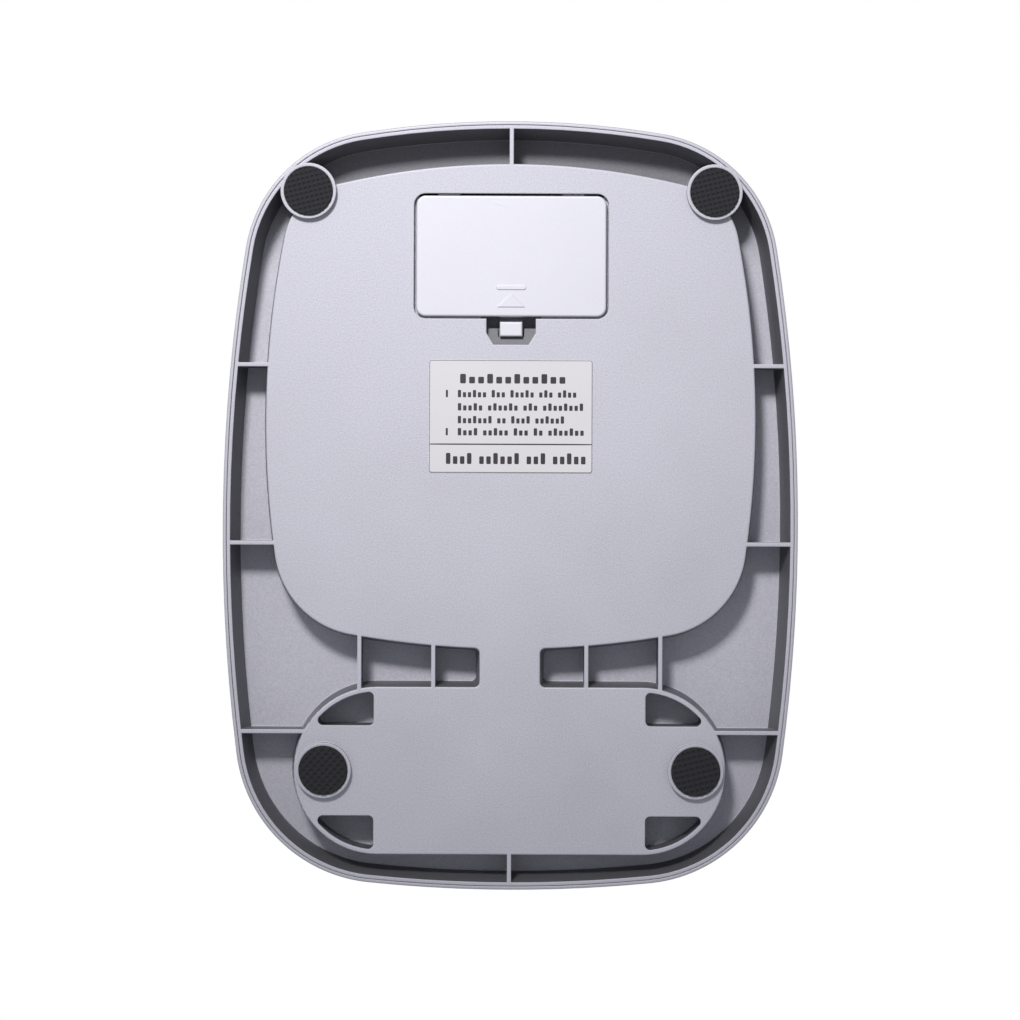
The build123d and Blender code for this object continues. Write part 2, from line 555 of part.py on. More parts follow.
with BuildPart() as top_cover:
    add(cover_blank)
    fillet(top_cover.edges().group_by(Axis.Z)[-1], COVER_EDGE_R)
    fillet(top_cover.edges().group_by(Axis.Z)[0], EDGE_R)
    add(cover_core.part, mode=Mode.SUBTRACT)
    # Bosses for the cover screws and posts for the circuit board.
    with BuildSketch(Plane.XY.offset(DECK)):
        with Locations(*FEET):
            Circle(COVER_BOSS_D / 2)
    extrude(amount=COVER_INSIDE - DECK)
    with BuildSketch(Plane.XY.offset(PCB_TOP)):
        with Locations(*PCB_POSTS):
            Circle(PCB_POST_D / 2)
    extrude(amount=COVER_INSIDE - PCB_TOP)
    with BuildSketch(Plane.XY.offset(DECK)):
        with Locations(*FEET):
            Circle(SCREW_D / 2 + SEAT_GAP)
    extrude(amount=SCREW_BITE + SEAT_GAP, mode=Mode.SUBTRACT)
    with BuildSketch(Plane.XY.offset(PCB_TOP)):
        with Locations(*PCB_POSTS):
            Circle(PCB_SCREW_D / 2 + SEAT_GAP)
    extrude(amount=PCB_SCREW_LENGTH - PCB_SIZE[2] + SEAT_GAP, mode=Mode.SUBTRACT)
    # Openings: platform support, display window, lens seat and buttons.
    with BuildSketch(Plane.XY.offset(COVER_INSIDE)):
        with Locations((sum(FREE_HOLES) / 2, LOAD_BAR_Y)):
            RectangleRounded(SUPPORT_BOSS[0] + 2 * SUPPORT_OPENING_GAP,
                             SUPPORT_BOSS[1] + 2 * SUPPORT_OPENING_GAP, SUPPORT_OPENING_GAP)
        with Locations((0, STADIUM_Y)):
            RectangleRounded(*WINDOW_SIZE, LENS_CORNER_R / 2)
        with Locations(*BUTTONS.values()):
            Circle(BUTTON_D / 2 + RUNNING_GAP)
    extrude(amount=COVER_TOP_WALL, mode=Mode.SUBTRACT)
    with BuildSketch(Plane.XY.offset(COVER_TOP - LENS_SIZE[2])):
        with Locations((0, STADIUM_Y)):
            RectangleRounded(LENS_SIZE[0] + 2 * SEAT_GAP, LENS_SIZE[1] + 2 * SEAT_GAP, LENS_CORNER_R)
    extrude(amount=LENS_SIZE[2], mode=Mode.SUBTRACT)
write(top_cover.part, "top_cover")

with BuildPart() as display_lens:
    with BuildSketch(Plane.XY.offset(COVER_TOP - LENS_SIZE[2])):
        with Locations((0, STADIUM_Y)):
            RectangleRounded(LENS_SIZE[0], LENS_SIZE[1], LENS_CORNER_R)
    extrude(amount=LENS_SIZE[2])
write(display_lens.part, "display_lens")

# ---------------------------------------------------------------- feet, screws and label
for (x, y), name in zip(FEET, ("rear_left", "rear_right", "front_left", "front_right")):
    with BuildPart() as foot_pad:
        with BuildSketch():
            with Locations((x, y)):
                Circle(PAD_D / 2)
        extrude(amount=PAD_THICKNESS)
        fillet(foot_pad.edges().group_by(Axis.Z)[0], EDGE_R)
    write(foot_pad.part, f"foot_pad_{name}")


def screws(places, seat, head_d, head, shank_d, length):
    """Screws driven upwards: round heads below the seat and plain shanks above it."""
    with BuildPart(mode=Mode.PRIVATE) as group:
        with BuildSketch(Plane.XY.offset(seat - head)):
            with Locations(*places):
                Circle(head_d / 2)
        extrude(amount=head)
        with BuildSketch(Plane.XY.offset(seat)):
            with Locations(*places):
                Circle(shank_d / 2)
        extrude(amount=length)
        with BuildSketch(Plane.XY.offset(seat - head)):
            with Locations(*places):
                Rectangle(head_d * RECESS_LENGTH, head_d * RECESS_WIDTH)
                Rectangle(head_d * RECESS_WIDTH, head_d * RECESS_LENGTH)
        extrude(amount=head / 2, mode=Mode.SUBTRACT)
    return group.part


write(screws(FEET, SCREW_SEAT, SCREW_HEAD_D, SCREW_HEAD, SCREW_D, SCREW_WELL_FLOOR + SCREW_BITE),
      "cover_screws")
write(screws([(x, LOAD_BAR_Y) for x in FIXED_HOLES], BAR_SEAT, BAR_SCREW_HEAD_D, BAR_SCREW_HEAD,
             BAR_SCREW_D, BAR_Z - BAR_SEAT + BAR_THREAD), "load_cell_base_screws")
write(screws(PCB_POSTS, PCB_Z, PCB_SCREW_HEAD_D, PCB_SCREW_HEAD, PCB_SCREW_D, PCB_SCREW_LENGTH),
      "board_screws")

with BuildPart() as rating_label:
    with BuildSketch(Plane.XY.offset(UNDERSIDE - LABEL_THICKNESS)):
        with Locations((0, (LABEL_REAR_Y + LABEL_FRONT_Y) / 2)):
            RectangleRounded(LABEL_WIDTH, LABEL_REAR_Y - LABEL_FRONT_Y, LABEL_CORNER_R)
    extrude(amount=LABEL_THICKNESS)
write(rating_label.part, "rating_label")

# ---------------------------------------------------------------- batteries and contacts
for number, (y, side) in enumerate(zip(CELL_YS, CELL_SIDES), start=1):
    # The positive tip points to the side where the plain contact is.
    with BuildPart() as battery:
        with BuildSketch(Plane((side * CELL_TIP_X, y, CELL_Z), z_dir=(-side, 0, 0))):
            Circle(CELL_TIP_D / 2)
        extrude(amount=CELL_TIP)
        with BuildSketch(Plane((side * (CELL_TIP_X - CELL_TIP), y, CELL_Z), z_dir=(-side, 0, 0))):
            Circle(CELL_D / 2)
        extrude(amount=CELL_LENGTH - CELL_TIP)
        fillet(battery.edges().filter_by(GeomType.CIRCLE).filter_by(
            lambda e: abs(e.radius - CELL_D / 2) < 0.01), EDGE_R)
    write(battery.part, f"battery_{number}")


def contact(side, rows, bumps, tail_row=None):
    """Spring-steel plate on one side wall, with bumps and, on a terminal, a solder tail."""
    mid = sum(rows) / len(rows)
    inner = side * (CAVITY_HALF - CONTACT_THICKNESS)
    with BuildPart(mode=Mode.PRIVATE) as plate:
        with Locations((side * (CAVITY_HALF - CONTACT_THICKNESS / 2), mid, CELL_Z)):
            Box(CONTACT_THICKNESS, max(rows) - min(rows) + CONTACT_WIDTH, CONTACT_WIDTH)
        for row in bumps:
            with BuildSketch(Plane((inner, row, CELL_Z), z_dir=(-side, 0, 0))):
                Circle(CONTACT_BUMP_D / 2)
            extrude(amount=CONTACT_BUMP, taper=CONTACT_BUMP_TAPER)
        if tail_row is not None:
            height = CAVITY_ROOF + COMPARTMENT_ROOF + CONTACT_TAIL - CELL_Z
            with Locations((side * (CAVITY_HALF - CONTACT_THICKNESS / 2), tail_row, CELL_Z)):
                Box(CONTACT_THICKNESS, CONTACT_TAIL, height, align=(Align.CENTER, Align.CENTER, Align.MIN))
    return plate.part


REAR, MIDDLE, FRONT = CELL_YS
write(contact(-1, [FRONT], [FRONT], FRONT), "contact_positive")
write(contact(1, [REAR], [], REAR), "contact_negative")
write(contact(-1, [REAR, MIDDLE], [REAR]), "contact_link_left")
write(contact(1, [MIDDLE, FRONT], [MIDDLE]), "contact_link_right")

for number, (y, side) in enumerate(zip(CELL_YS, CELL_SIDES), start=1):
    # Tapered coil between the contact plate and the flat end of the cell.
    end = -side * (CAVITY_HALF - CONTACT_THICKNESS - SPRING_WIRE_D / 2)
    height = SPRING_LENGTH - SPRING_WIRE_D
    with BuildPart() as spring:
        with BuildLine() as coil:
            Helix(pitch=height / SPRING_TURNS, height=height, radius=SPRING_D / 2,
                  center=(end, y, CELL_Z), direction=(side, 0, 0), cone_angle=-SPRING_TAPER)
        with BuildSketch(Plane(coil.line @ 0, z_dir=coil.line % 0)):
            Circle(SPRING_WIRE_D / 2)
        sweep(is_frenet=True)
    write(spring.part, f"contact_spring_{number}")

# ---------------------------------------------------------------- battery door and latch
with BuildPart() as battery_door:
    with BuildSketch(Plane.XY.offset(DOOR_Z)):
        with Locations((0, (DOOR_FRONT + DOOR_REAR) / 2)):
            RectangleRounded(2 * DOOR_HALF, DOOR_REAR - DOOR_FRONT, DOOR_CORNER_R)
    extrude(amount=DOOR_THICKNESS)
    fillet(battery_door.edges().group_by(Axis.Z)[0], DOOR_EDGE_R)
    # Raised arrow and bar on the outside.
    with BuildSketch(Plane.XY.offset(DOOR_Z - MARK_HEIGHT)):
        arrow_y = DOOR_FRONT + ARROW_INSET
        with BuildLine():
            Polyline((-ARROW_WIDTH / 2, arrow_y), (ARROW_WIDTH / 2, arrow_y),
                     (0, arrow_y + ARROW_LENGTH), close=True)
        make_face()
        with Locations((0, DOOR_FRONT + BAR_MARK_INSET)):
            SlotOverall(*BAR_MARK)
    extrude(amount=MARK_HEIGHT)
    # Hinge tabs that reach over the opening's rear edge.
    with BuildSketch(Plane.YZ):
        with BuildLine():
            Polyline((TAB_ROOT_Y, DOOR_TOP), (TAB_ROOT_Y, HINGE_TAB_Z + HINGE_TAB_THICKNESS),
                     (DOOR_REAR + HINGE_TAB_REACH, HINGE_TAB_Z + HINGE_TAB_THICKNESS),
                     (DOOR_REAR + HINGE_TAB_REACH, HINGE_TAB_Z), (DOOR_REAR, HINGE_TAB_Z),
                     (DOOR_REAR, DOOR_TOP), close=True)
        make_face()
    extrude(amount=HINGE_TAB_X + HINGE_TAB_WIDTH / 2, both=True)
    with Locations((0, TAB_ROOT_Y, DOOR_TOP)):
        Box(2 * HINGE_TAB_X - HINGE_TAB_WIDTH, LENGTH, CELL_D,
            align=(Align.CENTER, Align.MIN, Align.MIN), mode=Mode.SUBTRACT)
    # Rear arm and bend of the latch's U.
    with BuildSketch(Plane.YZ):
        with BuildLine() as bend:
            Line((LATCH_REAR_Y, DOOR_TOP), (LATCH_REAR_Y, LATCH_BEND_Z))
            ThreePointArc((LATCH_REAR_Y, LATCH_BEND_Z),
                          (LATCH_REAR_Y - LATCH_BEND_R, LATCH_BEND_Z + LATCH_BEND_R),
                          (LATCH_FRONT_Y, LATCH_BEND_Z))
        trace(line_width=LATCH_THICKNESS)
    extrude(amount=LATCH_WIDTH / 2, both=True)
write(battery_door.part, "battery_door")

with BuildPart() as door_latch:
    # Front arm with the barb that hooks over the scoop's lip, and the finger tab.
    arm_front = LATCH_FRONT_Y - LATCH_THICKNESS / 2
    arm_rear = LATCH_FRONT_Y + LATCH_THICKNESS / 2
    tab_z = UNDERSIDE + LATCH_TAB_LIFT
    barb_z = LIP_TOP + BARB_GAP
    with BuildSketch(Plane.YZ):
        with BuildLine():
            Polyline((arm_rear, LATCH_BEND_Z - SEAT_GAP), (arm_front, LATCH_BEND_Z - SEAT_GAP),
                     (arm_front, barb_z + BARB_HEIGHT), (BARB_FRONT, barb_z), (arm_front, barb_z),
                     (arm_front, tab_z + LATCH_TAB_THICKNESS), (TAB_FRONT, tab_z + LATCH_TAB_THICKNESS),
                     (TAB_FRONT, tab_z), (arm_rear, tab_z), close=True)
        make_face()
    extrude(amount=LATCH_WIDTH / 2, both=True)
    fillet(door_latch.edges().group_by(Axis.Z)[0], EDGE_R)
write(door_latch.part, "door_latch")

# ---------------------------------------------------------------- load cell
with BuildPart() as load_cell:
    with Locations((BAR_X, LOAD_BAR_Y, BAR_Z + LOAD_BAR[2] / 2)):
        Box(*LOAD_BAR)
    with BuildSketch(Plane.XZ.offset(-LOAD_BAR_Y)):
        with Locations((BAR_X, BAR_Z + LOAD_BAR[2] / 2)):
            Rectangle(FLEXURE_PITCH, FLEXURE_SLOT)
            with GridLocations(FLEXURE_PITCH, 0, 2, 1):
                Circle(FLEXURE_HOLE_D / 2)
    extrude(amount=LOAD_BAR[1], both=True, mode=Mode.SUBTRACT)
    with BuildSketch(Plane.XY.offset(BAR_Z)):
        with Locations(*[(x, LOAD_BAR_Y) for x in FIXED_HOLES + FREE_HOLES]):
            Circle(BAR_SCREW_D / 2 + SEAT_GAP / 2)
    extrude(amount=LOAD_BAR[2], mode=Mode.SUBTRACT)
write(load_cell.part, "load_cell")

with BuildPart() as gauge_coating:
    # Sealant over the strain gauges, above and below the flexure.
    for z in (BAR_Z - COATING[2] / 2, BAR_TOP + COATING[2] / 2):
        with Locations((BAR_X, LOAD_BAR_Y, z)):
            Box(*COATING)
write(gauge_coating.part, "gauge_coating")

# ---------------------------------------------------------------- weighing platform
with BuildPart() as platform_support:
    with BuildSketch(Plane.XY.offset(SUPPORT_Z)):
        for x, y in PEGS:
            with BuildLine(mode=Mode.PRIVATE) as arm:
                Line((sum(FREE_HOLES) / 2, LOAD_BAR_Y), (x, y))
            trace(arm.line, line_width=SUPPORT_ARM)
    extrude(amount=SUPPORT_ARM_THICKNESS)
    with BuildSketch(Plane.XY.offset(SUPPORT_Z)):
        with Locations(*PEGS):
            Circle(SOCKET_D / 2)
    extrude(amount=PLATFORM_INSIDE - SUPPORT_Z)
    with BuildSketch(Plane.XY.offset(BAR_TOP)):
        with Locations((sum(FREE_HOLES) / 2, LOAD_BAR_Y)):
            RectangleRounded(*SUPPORT_BOSS, SUPPORT_OPENING_GAP / 2)
    extrude(amount=SUPPORT_Z + SUPPORT_ARM_THICKNESS - BAR_TOP)
    with BuildSketch(Plane.XY.offset(SUPPORT_Z)):
        with Locations(*PEGS):
            Circle(PEG_D / 2 + PEG_GAP)
    extrude(amount=PLATFORM_INSIDE - SUPPORT_Z, mode=Mode.SUBTRACT)
    for radius, low, high in ((BAR_SCREW_D / 2 + RUNNING_GAP, BAR_TOP, BAR_TOP + SUPPORT_SEAT),
                              (BAR_SCREW_HEAD_D / 2 + RUNNING_GAP, BAR_TOP + SUPPORT_SEAT,
                               SUPPORT_Z + SUPPORT_ARM_THICKNESS)):
        with BuildSketch(Plane.XY.offset(low)):
            with Locations(*[(x, LOAD_BAR_Y) for x in FREE_HOLES]):
                Circle(radius)
        extrude(amount=high - low, mode=Mode.SUBTRACT)
write(platform_support.part, "platform_support")

support_screws_up = screws([(x, LOAD_BAR_Y) for x in FREE_HOLES], 0, BAR_SCREW_HEAD_D, BAR_SCREW_HEAD,
                           BAR_SCREW_D, SUPPORT_SEAT + BAR_THREAD)
with BuildPart() as support_screws:
    # Driven downwards, so the group is turned over and set on its seat.
    add(mirror(support_screws_up, about=Plane.XY, mode=Mode.PRIVATE).moved(
        Location((0, 0, BAR_TOP + SUPPORT_SEAT))))
write(support_screws.part, "load_cell_platform_screws")

with BuildPart() as platform:
    with BuildSketch(Plane.XY.offset(SUPPORT_Z)):
        add(platform_shape())
    extrude(amount=PLATFORM_HEIGHT)
    fillet(platform.edges().group_by(Axis.Z)[-1], PLATFORM_EDGE_R)
    with BuildSketch(Plane.XY.offset(SUPPORT_Z)):
        add(platform_shape(PLATFORM_WALL))
    extrude(amount=PLATFORM_INSIDE - SUPPORT_Z, mode=Mode.SUBTRACT)
    fillet(platform.edges().group_by(Axis.Z)[0], EDGE_R)
    with BuildSketch(Plane.XY.offset(SUPPORT_Z + 2 * RUNNING_GAP)):
        with Locations(*PEGS):
            Circle(PEG_D / 2)
    extrude(amount=PLATFORM_INSIDE - SUPPORT_Z - 2 * RUNNING_GAP)
write(platform.part, "platform")

# ---------------------------------------------------------------- display, board and buttons
with BuildPart() as circuit_board:
    with BuildSketch(Plane.XY.offset(PCB_Z)):
        with Locations((0, STADIUM_Y)):
            RectangleRounded(PCB_SIZE[0], PCB_SIZE[1], PCB_CORNER_R)
        with Locations(*PCB_POSTS):
            Circle(PCB_SCREW_D / 2 + SEAT_GAP, mode=Mode.SUBTRACT)
    extrude(amount=PCB_SIZE[2])
write(circuit_board.part, "circuit_board")

with BuildPart() as lcd_glass:
    with BuildSketch(Plane.XY.offset(LCD_Z)):
        with Locations((0, STADIUM_Y)):
            Rectangle(LCD_SIZE[0], LCD_SIZE[1])
    extrude(amount=LCD_SIZE[2])
write(lcd_glass.part, "lcd_glass")

with BuildPart() as lcd_frame:
    with BuildSketch(Plane.XY.offset(PCB_TOP)):
        with Locations((0, STADIUM_Y)):
            RectangleRounded(LCD_SIZE[0] + 2 * LCD_FRAME_WALL, LCD_SIZE[1] + 2 * LCD_FRAME_WALL,
                             LCD_FRAME_WALL / 2)
            Rectangle(LCD_SIZE[0] + 2 * SEAT_GAP, LCD_SIZE[1] + 2 * SEAT_GAP, mode=Mode.SUBTRACT)
    extrude(amount=LCD_Z + LCD_SIZE[2] - PCB_TOP)
write(lcd_frame.part, "lcd_frame")

with BuildPart() as zebra_strips:
    with BuildSketch(Plane.XY.offset(PCB_TOP)):
        with Locations((0, STADIUM_Y)):
            with GridLocations(0, LCD_SIZE[1] - 2 * ZEBRA[1], 1, 2):
                Rectangle(*ZEBRA)
    extrude(amount=LCD_Z - PCB_TOP)
write(zebra_strips.part, "zebra_strips")

with BuildPart() as main_chip:
    with BuildSketch(Plane((CHIP_XY[0], STADIUM_Y + CHIP_XY[1], PCB_Z), z_dir=(0, 0, -1))):
        RectangleRounded(CHIP[0], CHIP[1], CHIP_CORNER_R)
    extrude(amount=CHIP[2], taper=CHIP_TAPER)
write(main_chip.part, "main_chip")

with BuildPart() as capacitor:
    # Lies on its side under the board.
    with BuildSketch(Plane((-CHIP_XY[0], STADIUM_Y - CHIP_XY[1], PCB_Z - CAPACITOR_D / 2),
                           z_dir=(1, 0, 0))):
        Circle(CAPACITOR_D / 2)
    extrude(amount=CAPACITOR_LENGTH)
    fillet(capacitor.edges(), EDGE_R)
write(capacitor.part, "capacitor")

with BuildPart() as lead_connector:
    with Locations((0, STADIUM_Y + PCB_SIZE[1] / 2 - CONNECTOR_INSET, PCB_Z)):
        Box(*CONNECTOR, align=(Align.CENTER, Align.MAX, Align.MAX))
write(lead_connector.part, "lead_connector")

for name, (x, y) in BUTTONS.items():
    with BuildPart() as switch:
        with BuildSketch(Plane.XY.offset(PCB_TOP)):
            with Locations((x, y)):
                Rectangle(SWITCH_SIZE, SWITCH_SIZE)
        extrude(amount=SWITCH_HEIGHT)
        with BuildSketch(Plane.XY.offset(PCB_TOP + SWITCH_HEIGHT)):
            with Locations((x, y)):
                Circle(SWITCH_PLUNGER_D / 2 + RUNNING_GAP)
        extrude(amount=-SWITCH_BORE, mode=Mode.SUBTRACT)
    write(switch.part, f"{name}_switch")

    with BuildPart() as plunger:
        with BuildSketch(Plane.XY.offset(PCB_TOP + SWITCH_HEIGHT + SWITCH_PLUNGER_PROUD)):
            with Locations((x, y)):
                Circle(SWITCH_PLUNGER_D / 2)
        extrude(amount=-(SWITCH_PLUNGER_PROUD + SWITCH_BORE - BUTTON_TRAVEL - SEAT_GAP))
    write(plunger.part, f"{name}_switch_plunger")

    with BuildPart() as button:
        for diameter, low, high in ((BUTTON_CORE_D, BUTTON_CORE_Z, FLANGE_Z),
                                    (BUTTON_FLANGE_D, FLANGE_Z, FLANGE_Z + BUTTON_FLANGE),
                                    (BUTTON_D, FLANGE_Z + BUTTON_FLANGE, COVER_TOP + BUTTON_PROUD)):
            with BuildSketch(Plane.XY.offset(low)):
                with Locations((x, y)):
                    Circle(diameter / 2)
            extrude(amount=high - low)
        fillet(button.edges().group_by(Axis.Z)[-1], BUTTON_EDGE_R)
    write(button.part, f"{name}_button")

# ---------------------------------------------------------------- internal wires
for name, route, diameter in (("load_cell_lead", CELL_LEAD_ROUTE, CELL_LEAD_D),
                              ("battery_lead_positive", POSITIVE_START + POSITIVE_ROUTE, WIRE_D),
                              ("battery_lead_negative", NEGATIVE_START + NEGATIVE_ROUTE, WIRE_D)):
    points = [Vector(*p) for p in route]
    radii = []
    for before, at, after in zip(points, points[1:], points[2:]):
        turn = radians((at - before).get_angle(after - at))
        radii.append(BEND_SHARE * min((at - before).length, (after - at).length) / tan(turn / 2))
    with BuildPart() as lead:
        with BuildLine() as path:
            FilletPolyline(*points, radius=radii)
        with BuildSketch(Plane(path.wire() @ 0, z_dir=path.wire() % 0)):
            Circle(diameter / 2)
        sweep()
    write(lead.part, name)
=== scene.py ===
"""Compact table-top scale: finishes, grip pads, display, printed marks and studio, round the CAD frame.

Lengths are in metres in the frame's own axes: +Z is up, -Y is the display end, and z = 0 is the table.
"""

from math import ceil, pi, radians

import bmesh
import bpy
from bpy.props import FloatProperty, FloatVectorProperty, IntProperty, PointerProperty
from mathutils import Matrix, Vector


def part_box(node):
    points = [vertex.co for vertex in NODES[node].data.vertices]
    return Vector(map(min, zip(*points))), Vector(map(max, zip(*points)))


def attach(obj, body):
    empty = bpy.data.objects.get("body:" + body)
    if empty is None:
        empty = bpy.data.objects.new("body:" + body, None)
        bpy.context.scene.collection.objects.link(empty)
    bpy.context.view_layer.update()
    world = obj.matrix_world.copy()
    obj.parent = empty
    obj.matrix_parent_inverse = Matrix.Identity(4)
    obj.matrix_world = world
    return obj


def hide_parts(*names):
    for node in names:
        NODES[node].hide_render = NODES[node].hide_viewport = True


bl_info = {
    "name": "Table-top scale",
    "version": (1, 0, 0),
    "blender": (4, 5, 0),
    "location": "3D View > Sidebar > Scale",
    "description": "Finishes, grip pads, display and printed marks of a compact table-top scale",
    "category": "Object",
}

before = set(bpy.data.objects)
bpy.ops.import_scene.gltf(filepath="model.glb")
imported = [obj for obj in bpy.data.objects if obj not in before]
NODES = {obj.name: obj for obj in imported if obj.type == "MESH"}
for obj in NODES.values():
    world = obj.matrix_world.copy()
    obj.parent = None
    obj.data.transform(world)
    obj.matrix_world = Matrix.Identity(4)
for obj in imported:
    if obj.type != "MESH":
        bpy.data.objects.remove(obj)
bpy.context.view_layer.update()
MM = 0.001

# The lattice each foot pad has, and its turn in degrees.
PADS = {
    "foot_pad_rear_left": ("rear", -14.0),
    "foot_pad_rear_right": ("rear", -14.0),
    "foot_pad_front_left": ("front", -14.0),
    "foot_pad_front_right": ("front", -47.0),
}


# ---------------------------------------------------------------- settings
def colour_setting(name, description, default):
    """A colour that a user can change."""
    return FloatVectorProperty(name=name, description=description, subtype="COLOR", size=3,
                               min=0.0, max=1.0, default=default)


def length_setting(name, description, default):
    """A length that a user can change."""
    return FloatProperty(name=name, description=description, unit="LENGTH", min=0.0, default=default,
                         precision=5)


def share_setting(name, description, default):
    """A number from 0 to 1 that a user can change."""
    return FloatProperty(name=name, description=description, subtype="FACTOR", min=0.0, max=1.0,
                         default=default)


class ScaleFinishSettings(bpy.types.PropertyGroup):
    """Colours and surface texture of the mouldings."""
    silver: colour_setting("Silver", "Paint of the base and the cover", (0.60, 0.595, 0.655))
    door_silver: colour_setting("Door silver", "Smoother paint of the battery door", (0.74, 0.735, 0.785))
    platform_silver: colour_setting("Platform silver", "Paint of the platform", (0.64, 0.635, 0.69))
    film: colour_setting("Label film", "Printed film of the label", (0.76, 0.745, 0.76))
    rubber: colour_setting("Rubber", "Grip pads", (0.0075, 0.0075, 0.0105))
    ink: colour_setting("Ink", "Printing on the label", (0.045, 0.036, 0.044))
    metallic: share_setting("Metallic", "How much the silver paint shines like metal", 0.35)
    grain: length_setting("Grain", "Size of the sandy grain", 0.42 * MM)
    grain_depth: length_setting("Grain depth", "Height of the sandy grain", 0.035 * MM)
    edge: length_setting("Edge", "Radius that softens moulded edges", 0.42 * MM)
    # Edge light: strength of the painted highlight along softened edges.
    edge_light: share_setting("Edge light", "How much rubbed edges of the base brighten", 0.42)
    # Shares of painted shade: on the base's inward and outward walls, on the rear moat's floor, and on the
    # cover's walls.
    wall_share: share_setting("Wall share", "Brightness of the base's inward-facing walls", 0.3)
    outer_share: share_setting("Outer share", "Brightness of the base's outward-facing walls", 0.5)
    rear_share: share_setting("Rear share", "Brightness of the rear moat's floor", 0.36)
    cover_share: share_setting("Cover share", "Brightness of the cover's walls", 0.74)


class ScalePadSettings(bpy.types.PropertyGroup):
    """Lattice on the grip pads."""
    rear_pitch: length_setting("Rear pitch", "Lattice pitch of the rear pads", 1.32 * MM)
    front_pitch: length_setting("Front pitch", "Lattice pitch of the front pads", 1.5 * MM)
    ridge: length_setting("Ridge", "Width of a ridge", 0.34 * MM)
    slope: length_setting("Slope", "Width of the sloping wall of a dimple", 0.2 * MM)
    depth: length_setting("Depth", "Depth of a dimple", 0.3 * MM)
    stud: length_setting("Stud", "Height of the studs where the ridges cross", 0.09 * MM)
    smoothing: IntProperty(name="Smoothing", description="Subdivision of the lattice", min=0, max=3,
                           default=1)


class ScaleMarkSettings(bpy.types.PropertyGroup):
    """Printing on the label, the display and the buttons."""
    ink: length_setting("Ink", "Thickness of printed ink", 0.02 * MM)
    digit_height: length_setting("Digit height", "Height of a display digit", 11.0 * MM)
    digit_width: length_setting("Digit width", "Width of a display digit", 6.0 * MM)
    digit_pitch: length_setting("Digit pitch", "Distance between display digits", 9.0 * MM)
    stroke: length_setting("Stroke", "Width of a display segment", 1.2 * MM)
    symbol_radius: length_setting("Symbol radius", "Radius of the power symbol", 2.1 * MM)
    symbol_stroke: length_setting("Symbol stroke", "Line width of the button symbols", 0.5 * MM)


class ScaleStudioSettings(bpy.types.PropertyGroup):
    """Camera and lights."""
    distance: length_setting("Distance", "From the camera to the underside", 0.9)
    width: length_setting("Width", "Width of the view at the underside", 0.27854)
    key: FloatProperty(name="Key", description="Power of the light on the underside", min=0.0, default=0.29)
    fill: FloatProperty(name="Fill", description="Strength of the surroundings", min=0.0, default=0.33)
    top: FloatProperty(name="Top", description="Power of the light from above", min=0.0, default=8.5)
    roll: FloatProperty(name="Roll", description="Turn of the camera in degrees", default=-0.226)


# ---------------------------------------------------------------- mesh helpers
def deselect():
    """Leave nothing selected and no object in edit mode."""
    if bpy.context.mode != "OBJECT":
        bpy.ops.object.mode_set(mode="OBJECT")
    bpy.ops.object.select_all(action="DESELECT")


def primitive(add, name, **sizes):
    """Add one primitive, named, and go into edit mode with all of it selected."""
    deselect()
    add(**sizes)
    made = bpy.context.active_object
    made.name = name
    made.data.name = name
    bpy.ops.object.mode_set(mode="EDIT")
    bpy.ops.mesh.select_all(action="SELECT")
    return made


def pick(obj, kind, test):
    """Select only the vertices, edges or faces that pass a test."""
    bpy.ops.mesh.select_mode(type=kind)
    bpy.ops.mesh.select_all(action="DESELECT")
    mesh = bmesh.from_edit_mesh(obj.data)
    items = {"VERT": mesh.verts, "EDGE": mesh.edges, "FACE": mesh.faces}[kind]
    for item in items:
        if test(item):
            item.select_set(True)
    mesh.select_flush_mode()
    bmesh.update_edit_mesh(obj.data)


def middle(item):
    """The middle of an edge or a face."""
    return sum((v.co for v in item.verts), Vector()) / len(item.verts)


def close_up(obj, smooth_angle=None):
    """Leave edit mode with doubles merged, faces outwards and the place in the mesh."""
    bpy.ops.mesh.select_all(action="SELECT")
    bpy.ops.mesh.remove_doubles(threshold=0.0005 * MM)
    bpy.ops.mesh.normals_make_consistent(inside=False)
    bpy.ops.object.mode_set(mode="OBJECT")
    bpy.ops.object.transform_apply(location=True, rotation=True, scale=True)
    if smooth_angle is not None:
        bpy.ops.object.shade_smooth_by_angle(angle=radians(smooth_angle))
    return obj


def thicken(height):
    """Extrude the flat outline that is in edit mode into a thin closed plate."""
    bpy.ops.mesh.select_mode(type="FACE")
    bpy.ops.mesh.select_all(action="SELECT")
    bpy.ops.mesh.extrude_region_move(TRANSFORM_OT_translate={"value": (0, 0, height)})


def apply(obj, kind, **settings):
    """Add a modifier and apply it."""
    deselect()
    obj.select_set(True)
    bpy.context.view_layer.objects.active = obj
    modifier = obj.modifiers.new(kind.title(), kind)
    for name, value in settings.items():
        setattr(modifier, name, value)
    bpy.ops.object.modifier_apply(modifier=modifier.name)


def copied(obj, name, place):
    """A copy with its own mesh, moved or turned by a matrix."""
    twin = obj.copy()
    twin.data = obj.data.copy()
    twin.data.transform(place)
    twin.name = name
    bpy.context.scene.collection.objects.link(twin)
    return twin


def joined(pieces, name):
    """Make several pieces one."""
    deselect()
    for piece in pieces:
        piece.select_set(True)
    bpy.context.view_layer.objects.active = pieces[0]
    if len(pieces) > 1:
        bpy.ops.object.join()
    made = bpy.context.active_object
    made.name = name
    made.data.name = name
    return made


def discard(obj):
    """Remove an object that was only used to make another."""
    bpy.data.objects.remove(obj)


def top_centre(name):
    """The middle of the top of a CAD piece's box."""
    low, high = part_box(name)
    return Vector(((low.x + high.x) / 2, (low.y + high.y) / 2, high.z))


def finish_piece(obj, material, body):
    """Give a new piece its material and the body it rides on."""
    obj.data.materials.clear()
    obj.data.materials.append(material)
    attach(obj, body)


